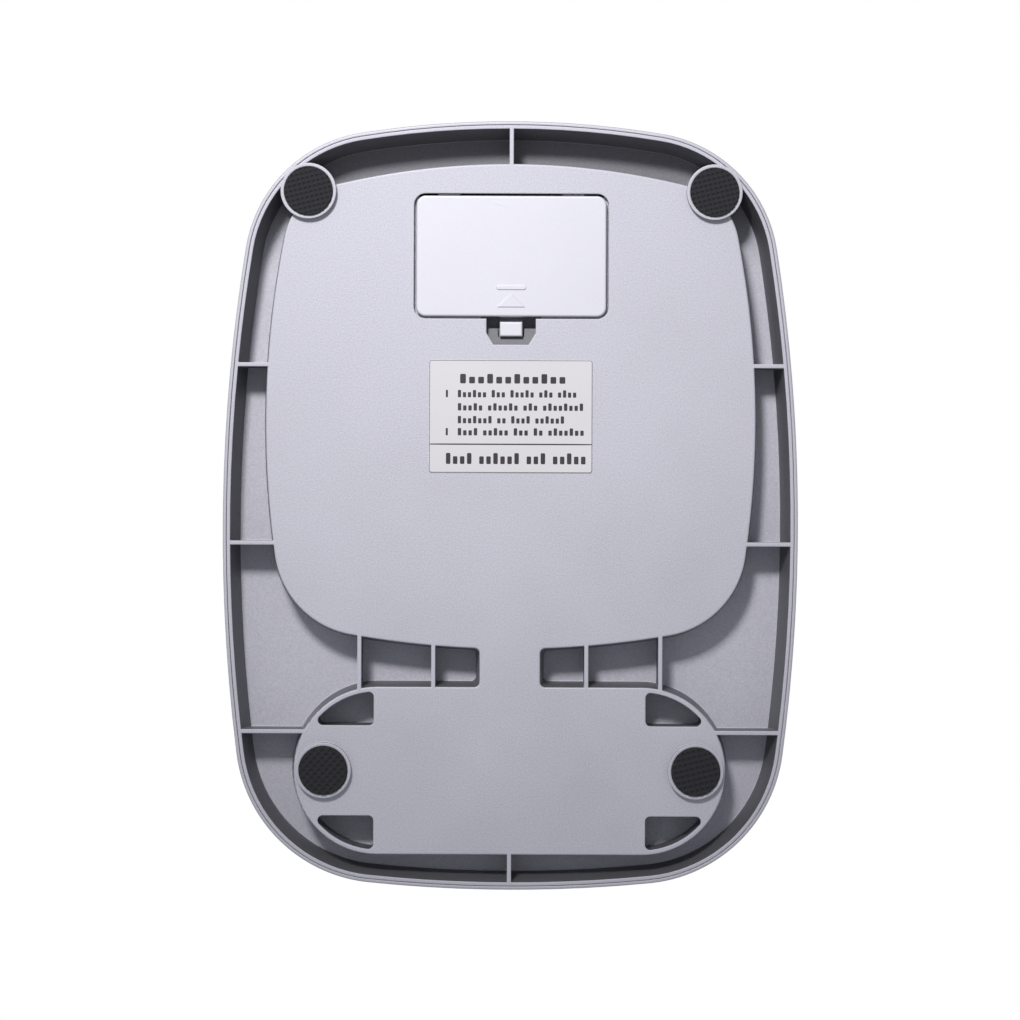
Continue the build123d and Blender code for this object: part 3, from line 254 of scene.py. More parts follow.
# ---------------------------------------------------------------- material helpers
def node(tree, kind, inputs=None, **settings):
    """Add a node. Each input is a value or the output socket that feeds it."""
    made = tree.nodes.new(kind)
    for name, value in settings.items():
        setattr(made, name, value)
    for key, value in (inputs or {}).items():
        if isinstance(value, bpy.types.NodeSocket):
            tree.links.new(value, made.inputs[key])
        else:
            made.inputs[key].default_value = value
    return made


def math(tree, operation, *values, clamp=False):
    """The result of one Math node."""
    return node(tree, "ShaderNodeMath", dict(enumerate(values)), operation=operation,
                use_clamp=clamp).outputs[0]


def mapped(tree, value, low, high, to_low, to_high):
    """The value moved from one range to another, held at its ends."""
    return node(tree, "ShaderNodeMapRange",
                {"Value": value, "From Min": low, "From Max": high, "To Min": to_low, "To Max": to_high},
                clamp=True).outputs["Result"]


def mixed(tree, share, first, second):
    """Two colours mixed."""
    return node(tree, "ShaderNodeMix", {0: share, 6: first, 7: second}, data_type="RGBA").outputs[2]


def band(tree, value, rise, fall):
    """1 between two soft ends and 0 outside them. Each end is the pair of values that it fades between."""
    return math(tree, "MULTIPLY", mapped(tree, value, *rise, 0.0, 1.0), mapped(tree, value, *fall, 1.0, 0.0))


def places(tree):
    """Object coordinates, and their parts X, Y and Z."""
    vector = node(tree, "ShaderNodeTexCoord").outputs["Object"]
    return vector, node(tree, "ShaderNodeSeparateXYZ", {0: vector}).outputs


def scaled(tree, colour, share):
    """A colour made darker or lighter."""
    return node(tree, "ShaderNodeVectorMath", {0: colour, 3: share}, operation="SCALE").outputs[0]


def noise(tree, vector, scale, detail=2.0, roughness=0.5):
    """The value of a noise texture."""
    return node(tree, "ShaderNodeTexNoise",
                {"Vector": vector, "Scale": scale, "Detail": detail, "Roughness": roughness}).outputs["Fac"]


def new_group(name, inputs, outputs):
    """An empty shader node group, with its input and output nodes. Sockets are (name, kind, default)."""
    tree = bpy.data.node_groups.new(name, "ShaderNodeTree")
    for socket, kind, default in inputs:
        tree.interface.new_socket(socket, in_out="INPUT", socket_type=kind).default_value = default
    for socket, kind in outputs:
        tree.interface.new_socket(socket, in_out="OUTPUT", socket_type=kind)
    return tree, tree.nodes.new("NodeGroupInput"), tree.nodes.new("NodeGroupOutput")


FLOAT, COLOUR, VECTOR = "NodeSocketFloat", "NodeSocketColor", "NodeSocketVector"
EDGE_HIGHLIGHT = (0.93, 0.925, 0.97, 1)      # colour of the painted highlight along edges
EDGE_TURN = (0.98, 0.75)             # cosine between true and softened normal: face, and highlighted edge
CLOUD_SCALE = 28.0


def moulded_group():
    """Spark-eroded plastic: sandy grain, faint cloudiness, and softened edges with a painted highlight."""
    tree, given, result = new_group(
        "Moulded surface",
        [("Colour", COLOUR, (0.6, 0.6, 0.65, 1)), ("Roughness", FLOAT, 0.5),
         ("Grain Size", FLOAT, 0.4 * MM), ("Grain Depth", FLOAT, 0.03 * MM), ("Speckle", FLOAT, 0.05),
         ("Cloud", FLOAT, 0.03), ("Edge Radius", FLOAT, 0.3 * MM), ("Edge Light", FLOAT, 0.3)],
        [("Colour", COLOUR), ("Roughness", FLOAT), ("Normal", VECTOR)])
    get = given.outputs
    vector = places(tree)[0]
    grain = noise(tree, vector, math(tree, "DIVIDE", 1.0, get["Grain Size"]), 3.0, 0.6)
    cloud = noise(tree, vector, CLOUD_SCALE, 3.0, 0.55)
    soft = node(tree, "ShaderNodeBevel", {"Radius": get["Edge Radius"]}, samples=6).outputs[0]
    true = node(tree, "ShaderNodeNewGeometry").outputs["True Normal"]
    turned = node(tree, "ShaderNodeVectorMath", {0: soft, 1: true},
                  operation="DOT_PRODUCT").outputs["Value"]
    # Painted highlight: the colour turns lighter where the softened normal leaves the true one.
    edge = math(tree, "MULTIPLY", mapped(tree, turned, *EDGE_TURN, 0.0, 1.0), get["Edge Light"])
    speck = math(tree, "MULTIPLY", mapped(tree, grain, 0.35, 0.65, -1.0, 1.0), get["Speckle"])
    haze = math(tree, "MULTIPLY", mapped(tree, cloud, 0.3, 0.7, -1.0, 1.0), get["Cloud"])
    level = math(tree, "ADD", math(tree, "ADD", speck, haze), 1.0)
    colour = mixed(tree, edge, scaled(tree, get["Colour"], level), EDGE_HIGHLIGHT)
    rough = math(tree, "ADD", get["Roughness"], math(tree, "MULTIPLY", haze, 1.5), clamp=True)
    bump = node(tree, "ShaderNodeBump",
                {"Strength": 1.0, "Distance": get["Grain Depth"], "Height": grain, "Normal": soft})
    tree.links.new(colour, result.inputs["Colour"])
    tree.links.new(rough, result.inputs["Roughness"])
    tree.links.new(bump.outputs[0], result.inputs["Normal"])
    return tree


def brushed_group():
    """Metal with fine parallel scratches along X and a little tarnish."""
    tree, given, result = new_group(
        "Brushed metal",
        [("Colour", COLOUR, (0.7, 0.7, 0.7, 1)), ("Roughness", FLOAT, 0.35),
         ("Scratch Depth", FLOAT, 0.01 * MM), ("Tarnish", FLOAT, 0.15), ("Edge Radius", FLOAT, 0.1 * MM)],
        [("Colour", COLOUR), ("Roughness", FLOAT), ("Normal", VECTOR)])
    get = given.outputs
    vector = places(tree)[0]
    drawn = node(tree, "ShaderNodeMapping", {"Vector": vector, "Scale": (120.0, 5200.0, 5200.0)}).outputs[0]
    scratch = noise(tree, drawn, 1.0, 3.0, 0.6)
    stain = mapped(tree, noise(tree, vector, 160.0, 4.0, 0.6), 0.4, 0.75, 0.0, 1.0)
    tarnish = math(tree, "MULTIPLY", stain, get["Tarnish"])
    soft = node(tree, "ShaderNodeBevel", {"Radius": get["Edge Radius"]}, samples=4).outputs[0]
    colour = mixed(tree, tarnish, get["Colour"], (0.22, 0.2, 0.17, 1))
    rough = math(tree, "ADD", get["Roughness"],
                 math(tree, "ADD", tarnish, mapped(tree, scratch, 0.3, 0.7, -0.06, 0.06)), clamp=True)
    bump = node(tree, "ShaderNodeBump",
                {"Strength": 0.6, "Distance": get["Scratch Depth"], "Height": scratch, "Normal": soft})
    tree.links.new(colour, result.inputs["Colour"])
    tree.links.new(rough, result.inputs["Roughness"])
    tree.links.new(bump.outputs[0], result.inputs["Normal"])
    return tree


# Soft masks of painted shade on the base. Each pair is where a soft end starts and stops.
WALL_TO_FACE = (0.3, 0.88)              # upright part of the normal
INWARD_TO_OUTWARD = (-0.01, 0.01)       # place times normal, in metres
REAR_Y, MOAT_Z = (66.0 * MM, 90.0 * MM), (5.0 * MM, 11.0 * MM)
SCOOP_X = ((-8.6 * MM, -8.0 * MM), (8.0 * MM, 8.6 * MM))
SCOOP_Y = ((42.0 * MM, 42.6 * MM), (52.6 * MM, 53.2 * MM))
SCOOP_Z = ((2.55 * MM, 2.9 * MM), (9.0 * MM, 9.5 * MM))
SCOOP_SHADE = 0.3


def wall_shade_group():
    """Painted shade on steep walls, most of all on those that face the middle of the base."""
    tree, given, result = new_group(
        "Painted wall shade",
        [("Colour", COLOUR, (0.6, 0.6, 0.65, 1)), ("Wall Share", FLOAT, 0.4), ("Outer Share", FLOAT, 0.5),
         ("Rear Share", FLOAT, 0.36)],
        [("Colour", COLOUR)])
    get = given.outputs
    facing = node(tree, "ShaderNodeTexCoord").outputs["Normal"]
    normal = node(tree, "ShaderNodeSeparateXYZ", {0: facing}).outputs
    at = places(tree)[1]
    # Painted shade on steep walls, darker on those that face inwards.
    outward = math(tree, "ADD", math(tree, "MULTIPLY", at["X"], normal["X"]),
                   math(tree, "MULTIPLY", at["Y"], normal["Y"]))
    wall = mapped(tree, outward, *INWARD_TO_OUTWARD, get["Wall Share"], get["Outer Share"])
    steep = mapped(tree, math(tree, "ABSOLUTE", normal["Z"]), *WALL_TO_FACE, wall, 1.0)
    # Painted shadow on the moat's floor, deepening towards the rear.
    rear = math(tree, "MULTIPLY", mapped(tree, at["Y"], *REAR_Y, 0.0, 1.0),
                mapped(tree, at["Z"], *MOAT_Z, 0.0, 1.0))
    thin = mapped(tree, rear, 0.0, 1.0, 1.0, get["Rear Share"])
    # Painted shade in the finger scoop, darker than the faces round it.
    scoop = math(tree, "MULTIPLY", band(tree, at["X"], *SCOOP_X), band(tree, at["Y"], *SCOOP_Y))
    scoop = math(tree, "MULTIPLY", scoop, band(tree, at["Z"], *SCOOP_Z))
    scoop_shade = mapped(tree, scoop, 0.0, 1.0, 1.0, SCOOP_SHADE)
    share = math(tree, "MINIMUM", math(tree, "MINIMUM", steep, thin), scoop_shade)
    tree.links.new(scaled(tree, get["Colour"], share), result.inputs["Colour"])
    return tree


def new_material(name, **plain):
    """A material with one Principled shader, whose plain values are given by socket name."""
    made = bpy.data.materials.new(name)
    made.use_nodes = True
    shader = made.node_tree.nodes["Principled BSDF"]
    for socket, value in plain.items():
        shader.inputs[socket.replace("_", " ")].default_value = value
    return made, made.node_tree, shader


def placed_group(tree, group, **values):
    """A shared group placed in a material, whose own values are given by socket name."""
    effect = tree.nodes.new("ShaderNodeGroup")
    effect.node_tree = group
    for socket, value in values.items():
        effect.inputs[socket.replace("_", " ")].default_value = value
    return effect


def surface(name, group, values, **plain):
    """A material whose colour, roughness and normal come from a shared group."""
    made, tree, shader = new_material(name, **plain)
    effect = placed_group(tree, group, **values)
    tree.links.new(effect.outputs["Colour"], shader.inputs["Base Color"])
    tree.links.new(effect.outputs["Roughness"], shader.inputs["Roughness"])
    tree.links.new(effect.outputs["Normal"], shader.inputs["Normal"])
    return made


def opaque(colour):
    """A colour with full alpha."""
    return (*colour, 1.0)


# ---------------------------------------------------------------- materials
def silver_material(name, group, colour, finish, roughness, share=1.0, **changes):
    """Silver paint over moulded plastic."""
    values = {"Colour": opaque(colour), "Roughness": roughness, "Grain_Size": finish.grain,
              "Grain_Depth": finish.grain_depth * share, "Edge_Radius": finish.edge, **changes}
    return surface(name, group, values, Metallic=finish.metallic, Specular_IOR_Level=0.5)


def plastic_material(name, group, colour, roughness, **changes):
    """Moulded plastic in its own colour."""
    # Edge_Light sets the painted highlight along softened edges.
    values = {"Colour": opaque(colour), "Roughness": roughness, "Grain_Size": 0.3 * MM,
              "Grain_Depth": 0.012 * MM, "Speckle": 0.04, "Edge_Radius": 0.12 * MM, "Edge_Light": 0.12,
              **changes}
    return surface(name, group, values)


def ink_material(name, colour, roughness, **changes):
    """Thin print, with edges too sharp to soften."""
    return plastic_material(name, bpy.data.node_groups["Moulded surface"], colour, roughness,
                            Edge_Light=0.0, Edge_Radius=0.01 * MM, **changes)


def metal_material(name, group, colour, roughness, **changes):
    """Bare or plated metal."""
    values = {"Colour": opaque(colour), "Roughness": roughness, **changes}
    return surface(name, group, values, Metallic=1.0)


SCRATCH_SLOPE, SCRATCH_Y = 0.25, 81.15 * MM
SCRATCH_LINE = (0.03 * MM, 0.14 * MM)   # from the middle of the hairline
SCRATCH_X = ((-0.5 * MM, 1.5 * MM), (4.0 * MM, 6.0 * MM))
DOOR_OUTSIDE = (2.6 * MM, 2.7 * MM)     # just above the door's outer face
SCRATCH_DEPTH = 0.22


def door_material(group, finish):
    """Smoother silver paint with one faint scratch across the battery door."""
    made, tree, shader = new_material("door_plastic", Metallic=finish.metallic)
    at = places(tree)[1]
    # The door's edges get a strong painted highlight.
    effect = placed_group(tree, group, Colour=opaque(finish.door_silver), Roughness=0.54,
                          Grain_Size=0.3 * MM, Grain_Depth=0.008 * MM, Speckle=0.02, Cloud=0.018,
                          Edge_Radius=0.25 * MM, Edge_Light=0.5)
    # Scratch: a slanting hairline, faded in and out along its length.
    along = math(tree, "SUBTRACT", at["Y"], math(tree, "MULTIPLY", at["X"], SCRATCH_SLOPE))
    off = math(tree, "ABSOLUTE", math(tree, "SUBTRACT", along, SCRATCH_Y))
    line = math(tree, "MULTIPLY", mapped(tree, off, *SCRATCH_LINE, 1.0, 0.0),
                band(tree, at["X"], *SCRATCH_X))
    mark = math(tree, "MULTIPLY", line, mapped(tree, at["Z"], *DOOR_OUTSIDE, SCRATCH_DEPTH, 0.0))
    colour = mixed(tree, mark, effect.outputs["Colour"], (0.35, 0.34, 0.4, 1))
    tree.links.new(colour, shader.inputs["Base Color"])
    tree.links.new(effect.outputs["Roughness"], shader.inputs["Roughness"])
    tree.links.new(effect.outputs["Normal"], shader.inputs["Normal"])
    return made


LENS_WINDOW = (22.6 * MM, 7.6 * MM)     # half the width and depth of the clear window


def lens_material():
    """Clear window inside a border printed black on the back of the lens."""
    made, tree, shader = new_material("clear_lens", IOR=1.49, Coat_Weight=0.4)
    vector, at = places(tree)
    low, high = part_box("display_lens")
    along = math(tree, "SUBTRACT", at["Y"], (low.y + high.y) / 2)
    across = math(tree, "SUBTRACT", math(tree, "ABSOLUTE", at["X"]), LENS_WINDOW[0])
    up = math(tree, "SUBTRACT", math(tree, "ABSOLUTE", along), LENS_WINDOW[1])
    border = mapped(tree, math(tree, "MAXIMUM", across, up), 0.0, 0.12 * MM, 0.0, 1.0)
    smudge = noise(tree, vector, 60.0, 4.0, 0.6)
    tree.links.new(mixed(tree, border, (0.5, 0.55, 0.55, 1), (0.008, 0.009, 0.012, 1)),
                   shader.inputs["Base Color"])
    tree.links.new(mapped(tree, border, 0.0, 1.0, 0.1, 1.0), shader.inputs["Alpha"])
    tree.links.new(mapped(tree, smudge, 0.4, 0.8, 0.05, 0.16), shader.inputs["Roughness"])
    return made


LCD_FRONT = (22.6 * MM, 22.8 * MM)      # height at which the glass's edge gives way to its front


def display_material():
    """Grey-green liquid crystal glass with a silvered edge."""
    made, tree, shader = new_material("display_glass", Specular_IOR_Level=0.6, Coat_Weight=0.3)
    vector, at = places(tree)
    fine = noise(tree, vector, 9000.0, 1.0)
    slow = noise(tree, vector, 90.0, 2.0)
    back = mixed(tree, mapped(tree, slow, 0.3, 0.7, 0.0, 1.0), (0.40, 0.45, 0.36, 1), (0.44, 0.49, 0.40, 1))
    side = mapped(tree, at["Z"], *LCD_FRONT, 1.0, 0.0)
    tree.links.new(mixed(tree, side, back, (0.25, 0.28, 0.27, 1)), shader.inputs["Base Color"])
    tree.links.new(mapped(tree, fine, 0.3, 0.7, 0.18, 0.3), shader.inputs["Roughness"])
    return made


TRACK_SCALE = 330.0


def board_material():
    """Green solder mask over copper tracks, with tinned pads."""
    made, tree, shader = new_material("board", Coat_Weight=0.25)
    vector = places(tree)[0]
    # Tracks are the borders between the cells of a grid, and pads are the middles of the cells.
    near, next_near = [node(tree, "ShaderNodeTexVoronoi", {"Vector": vector, "Scale": TRACK_SCALE},
                            distance="MANHATTAN", feature=feature).outputs["Distance"]
                       for feature in ("F1", "F2")]
    track = mapped(tree, math(tree, "SUBTRACT", next_near, near), 0.10, 0.16, 1.0, 0.0)
    pad = mapped(tree, near, 0.12, 0.16, 1.0, 0.0)
    mask = mixed(tree, track, (0.012, 0.085, 0.035, 1), (0.035, 0.17, 0.07, 1))
    tree.links.new(mixed(tree, pad, mask, (0.62, 0.6, 0.55, 1)), shader.inputs["Base Color"])
    tree.links.new(pad, shader.inputs["Metallic"])
    rough = mapped(tree, noise(tree, vector, 300.0), 0.3, 0.7, 0.3, 0.42)
    tree.links.new(rough, shader.inputs["Roughness"])
    raised = math(tree, "MAXIMUM", track, pad)
    bump = node(tree, "ShaderNodeBump", {"Strength": 0.8, "Distance": 0.04 * MM, "Height": raised})
    tree.links.new(bump.outputs[0], shader.inputs["Normal"])
    return made


# Printing along a cell's sleeve, from its positive end, with soft ends.
CELL_BAND = ((1.5 * MM, 1.6 * MM), (12.2 * MM, 12.3 * MM))
CELL_LINE = ((13.2 * MM, 13.3 * MM), (13.9 * MM, 14.0 * MM))
CELL_TIP, CELL_END = (1.35 * MM, 1.4 * MM), (-0.45 * MM, -0.4 * MM)
CELL_SIDES = {"battery_1": -1, "battery_2": 1, "battery_3": -1}     # side of the positive end, along X


def cell_material(name, node_name, side):
    """Battery: steel ends and tip, a printed sleeve with a coloured band near the positive end."""
    made, tree, shader = new_material(name, Coat_Weight=0.5)
    vector, at = places(tree)
    low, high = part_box(node_name)
    # Distance from the positive end, along the cell.
    start = high.x if side > 0 else low.x
    run = math(tree, "MULTIPLY", math(tree, "SUBTRACT", start, at["X"]), float(side))
    end = [high.x - low.x + place for place in CELL_END]
    coloured = band(tree, run, *CELL_BAND)
    printed = math(tree, "MAXIMUM", coloured, band(tree, run, *CELL_LINE))
    sleeve = mixed(tree, printed, (0.42, 0.43, 0.45, 1), (0.03, 0.07, 0.2, 1))
    steel = math(tree, "MAXIMUM", mapped(tree, run, *CELL_TIP, 1.0, 0.0), mapped(tree, run, *end, 0.0, 1.0))
    tarnish = noise(tree, vector, 400.0, 3.0)
    metal = mixed(tree, mapped(tree, tarnish, 0.4, 0.8, 0.0, 0.5), (0.74, 0.73, 0.7, 1),
                  (0.5, 0.48, 0.44, 1))
    tree.links.new(mixed(tree, steel, sleeve, metal), shader.inputs["Base Color"])
    tree.links.new(math(tree, "MAXIMUM", steel, math(tree, "MULTIPLY", coloured, 0.3)),
                   shader.inputs["Metallic"])
    tree.links.new(mapped(tree, tarnish, 0.3, 0.7, 0.22, 0.36), shader.inputs["Roughness"])
    soft = node(tree, "ShaderNodeBevel", {"Radius": 0.1 * MM}, samples=4).outputs[0]
    step = math(tree, "SUBTRACT", 1.0, steel)
    bump = node(tree, "ShaderNodeBump",
                {"Strength": 0.7, "Distance": 0.08 * MM, "Height": step, "Normal": soft})
    tree.links.new(bump.outputs[0], shader.inputs["Normal"])
    return made


LAYER_PITCH = 0.6 * MM


def zebra_material():
    """Layered conductive and insulating rubber."""
    made, tree, shader = new_material("zebra_rubber")
    vector, at = places(tree)
    wave = math(tree, "SINE", math(tree, "MULTIPLY", at["X"], 2 * pi / LAYER_PITCH))
    layers = mixed(tree, mapped(tree, wave, -0.3, 0.3, 0.0, 1.0), (0.02, 0.02, 0.02, 1),
                   (0.3, 0.3, 0.33, 1))
    tree.links.new(layers, shader.inputs["Base Color"])
    tree.links.new(mapped(tree, noise(tree, vector, 900.0), 0.3, 0.7, 0.6, 0.8), shader.inputs["Roughness"])
    return made


def housing_material(name, group, walls, finish, **shares):
    """Silver paint of the base or the cover, with painted shade on steep walls and a painted highlight along
    edges.
    """
    made = silver_material(name, group, finish.silver, finish, 0.58, Speckle=0.085, Cloud=0.03,
                           Edge_Light=finish.edge_light)
    tree = made.node_tree
    effect = next(n for n in tree.nodes if n.type == "GROUP")
    shade = placed_group(tree, walls, Colour=opaque(finish.silver), **shares)
    tree.links.new(shade.outputs["Colour"], effect.inputs["Colour"])
    return made


# Colour, roughness and the group's other values that differ from the usual ones.
PLASTICS = {
    "inner_plastic": ((0.085, 0.085, 0.095), 0.55, {}),
    "button_plastic": ((0.02, 0.02, 0.026), 0.35, {"Edge_Light": 0.05, "Grain_Depth": 0.004 * MM}),
    "connector_plastic": ((0.72, 0.68, 0.58), 0.45, {}),
    "sealant": ((0.78, 0.78, 0.75), 0.5, {"Grain_Size": 2.4 * MM, "Grain_Depth": 0.3 * MM,
                                          "Edge_Radius": 0.6 * MM, "Edge_Light": 0.1}),
    "epoxy": ((0.012, 0.012, 0.014), 0.28, {"Grain_Size": 1.4 * MM, "Grain_Depth": 0.05 * MM}),
    "lead_jacket": ((0.52, 0.52, 0.54), 0.5, {}),
    "wire_red": ((0.5, 0.012, 0.012), 0.38, {}),
    "wire_black": ((0.012, 0.012, 0.012), 0.38, {}),
}
METALS = {
    "contact_steel": ((0.76, 0.74, 0.7), 0.24, {"Tarnish": 0.08}),
    "screw_steel": ((0.58, 0.58, 0.6), 0.32, {"Tarnish": 0.2}),
    "beam_aluminium": ((0.78, 0.785, 0.8), 0.34, {"Scratch_Depth": 0.02 * MM, "Tarnish": 0.05}),
}


class SCALE_OT_finish_frame(bpy.types.Operator):
    """Give every CAD piece its finish"""
    bl_idname = "scale.finish_frame"
    bl_label = "Finish the frame"

    def execute(self, context):
        finish = context.scene.scale_finish
        moulded = moulded_group()
        brushed = brushed_group()
        walls = wall_shade_group()
        cases = {
            # The cover's walls get a light painted shade.
            "housing_plastic": housing_material("housing_plastic", moulded, walls, finish,
                                                Wall_Share=finish.cover_share,
                                                Outer_Share=finish.cover_share, Rear_Share=1.0),
            "door_plastic": door_material(moulded, finish),
            # The platform's edges get a painted highlight.
            "platform_plastic": silver_material("platform_plastic", moulded, finish.platform_silver, finish,
                                                0.38, 0.4, Speckle=0.03, Cloud=0.02, Edge_Light=0.35),
            "pad_rubber": plastic_material("pad_rubber", moulded, finish.rubber, 0.37, Grain_Size=0.16 * MM,
                                           Grain_Depth=0.02 * MM, Speckle=0.3, Cloud=0.15, Edge_Light=0.02),
            "label_film": plastic_material("label_film", moulded, finish.film, 0.36, Speckle=0.015,
                                           Cloud=0.02, Grain_Depth=0.003 * MM, Edge_Light=0.0),
            "clear_lens": lens_material(),
            "display_glass": display_material(),
            "board": board_material(),
            "zebra_rubber": zebra_material(),
        }
        for name, (colour, roughness, changes) in PLASTICS.items():
            cases[name] = plastic_material(name, moulded, colour, roughness, **changes)
        for name, (colour, roughness, changes) in METALS.items():
            cases[name] = metal_material(name, brushed, colour, roughness, **changes)
        # The base gets painted shade on its walls, on its rear moat's floor and in its finger scoop.
        base = housing_material("base_plastic", moulded, walls, finish, Wall_Share=finish.wall_share,
                                Outer_Share=finish.outer_share, Rear_Share=finish.rear_share)
        for name, obj in NODES.items():
            slot = obj.data.materials[0].name.split(".")[0]
            if name in CELL_SIDES:
                made = cell_material(f"cell_{name}", name, CELL_SIDES[name])
            elif name == "base_housing":
                made = base
            else:
                made = cases[slot]
            for holder in obj.material_slots:
                holder.material = made
        return {"FINISHED"}


# ---------------------------------------------------------------- grip pads
PAD_EDGE = 0.15 * MM      # broken edge round a pad
PAD_ANGLE = 50.0          # faces that meet at less than this, in degrees, are shaded smooth


def lattice_slab(name, pitch, radius, thickness, pads):
    """A slab whose underside is a lattice of rounded ridges with a stud at each crossing."""
    count = 2 * ceil(radius / pitch) + 4
    slab = primitive(bpy.ops.mesh.primitive_grid_add, name, x_subdivisions=count, y_subdivisions=count,
                     size=count * pitch, location=(0, 0, 0))
    bpy.ops.transform.translate(value=(0, 0, pads.stud))
    crossings = [v.co.xy for v in bmesh.from_edit_mesh(slab.data).verts]
    grid = {(round(c.x / pitch * 2), round(c.y / pitch * 2)) for c in crossings}
    bpy.ops.mesh.select_mode(type="FACE")
    bpy.ops.mesh.select_all(action="SELECT")
    bpy.ops.mesh.inset(thickness=pads.ridge / 2, depth=0.0, use_individual=True)
    bpy.ops.mesh.inset(thickness=pads.slope, depth=pads.depth, use_individual=True)

    def crossing(v):
        """Whether a vertex is where ridges cross."""
        column, row = round(v.co.x / pitch * 2), round(v.co.y / pitch * 2)
        off = max(abs(v.co.x - column * pitch / 2), abs(v.co.y - row * pitch / 2))
        return off < pads.ridge / 8 and (column, row) in grid

    pick(slab, "VERT", crossing)
    bpy.ops.transform.translate(value=(0, 0, -pads.stud))
    bpy.ops.mesh.select_mode(type="EDGE")
    bpy.ops.mesh.select_all(action="DESELECT")
    bpy.ops.mesh.select_non_manifold(extend=False)
    bpy.ops.mesh.extrude_region_move(TRANSFORM_OT_translate={"value": (0, 0, 2 * thickness)})
    bpy.ops.mesh.edge_face_add()
    close_up(slab)
    if pads.smoothing:
        apply(slab, "SUBSURF", levels=pads.smoothing, render_levels=pads.smoothing)
    return slab


def disc_cutter(centre, radius, thickness, edge):
    """A disc with a broken lower edge, which trims a lattice slab to a pad."""
    cutter = primitive(bpy.ops.mesh.primitive_cylinder_add, "disc_cutter", vertices=96, radius=radius,
                       depth=thickness, location=(centre.x, centre.y, thickness / 2), end_fill_type="NGON")
    half = thickness / 2
    pick(cutter, "EDGE", lambda e: all(v.co.z < -0.9 * half for v in e.verts))
    bpy.ops.mesh.bevel(offset=edge, segments=2, affect="EDGES")
    return close_up(cutter)


class SCALE_OT_grip_pads(bpy.types.Operator):
    """Cut the four patterned rubber pads and set them in their rings"""
    bl_idname = "scale.grip_pads"
    bl_label = "Grip pads"

    def execute(self, context):
        pads = context.scene.scale_pads
        low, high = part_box("foot_pad_rear_left")
        radius, thickness = (high.x - low.x) / 2, high.z - low.z
        slabs = {"rear": lattice_slab("rear_slab", pads.rear_pitch, radius, thickness, pads),
                 "front": lattice_slab("front_slab", pads.front_pitch, radius, thickness, pads)}
        for name, (end, turn) in PADS.items():
            low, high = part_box(name)
            centre = (low + high) / 2
            place = Matrix.Translation((centre.x, centre.y, 0)) @ Matrix.Rotation(radians(turn), 4, "Z")
            pad = copied(slabs[end], name.replace("foot_pad", "grip_pad"), place)
            cutter = disc_cutter(centre, radius, thickness, PAD_EDGE)
            apply(pad, "BOOLEAN", operation="INTERSECT", object=cutter, solver="EXACT")
            discard(cutter)
            bpy.ops.object.mode_set(mode="EDIT")
            close_up(pad, PAD_ANGLE)
            finish_piece(pad, bpy.data.materials["pad_rubber"], "base")
            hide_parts(name)
        for slab in slabs.values():
            discard(slab)
        return {"FINISHED"}


# ---------------------------------------------------------------- label printing
# Rows of the label in reading order: middle, left end, right end and height in mm, then letters per word.
LABEL_ROWS = [
    (34.6, -14.3, 15.3, 2.6, (12,)),
    (30.5, -17.9, -17.0, 2.0, (1,)),
    (30.5, -14.7, 18.1, 2.0, (6, 3, 5, 3, 4)),
    (26.9, -14.7, 20.0, 2.0, (5, 6, 3, 8)),
    (23.4, -14.7, 14.8, 2.0, (7, 2, 4, 6)),
    (20.1, -17.9, -17.0, 2.0, (1,)),
    (20.1, -14.7, 20.2, 2.0, (4, 5, 3, 2, 7)),
    (12.8, -18.0, 20.8, 3.0, (4, 6, 3, 5)),
]
LETTER_SHARE = 0.64       # of a letter's cell that is inked
WORD_GAP = 0.75           # in letter cells
SHORT_LETTER = 0.70       # height of a low letter, as a share of its row's
TALL_EVERY = 3            # one letter in so many is tall
LABEL_MARGIN, LABEL_LINE, LABEL_CORNER = 0.08 * MM, 0.12 * MM, 0.6 * MM
DIVIDER_Y, DIVIDER_DEPTH = 16.7 * MM, 0.36 * MM


def stamp(name, corner):
    """A unit block with rounded corners, 1 mm across and 1 mm thick, printed downwards from z = 0."""
    block = primitive(bpy.ops.mesh.primitive_plane_add, name, size=MM, location=(0, 0, 0))
    bpy.ops.mesh.bevel(offset=corner * MM, segments=3, affect="VERTICES")
    thicken(-MM)
    return close_up(block)


def stamped(block, name, x, y, z, width, height, thickness):
    """A copy of a stamp, sized and placed. The sizes are in metres."""
    size = Matrix.Diagonal((width / MM, height / MM, thickness / MM, 1))
    return copied(block, name, Matrix.Translation((x, y, z)) @ size)


def text_blocks(block, row, z, ink):
    """Blocks that stand for the letters of one row. Read from below, so left is towards +X."""
    mid_y, left, right, height, words = row
    cells = sum(words) + WORD_GAP * (len(words) - 1)
    cell = (right - left) / cells
    made, at, number = [], left, 0
    for letters in words:
        for _ in range(letters):
            tall = number % TALL_EVERY == 0
            share = 1.0 if tall else SHORT_LETTER
            y = mid_y - height * (1 - share) / 2
            made.append(stamped(block, "letter", -(at + cell / 2) * MM, y * MM, z,
                                cell * LETTER_SHARE * MM, height * share * MM, ink))
            at += cell
            number += 1
        at += cell * WORD_GAP
    return made


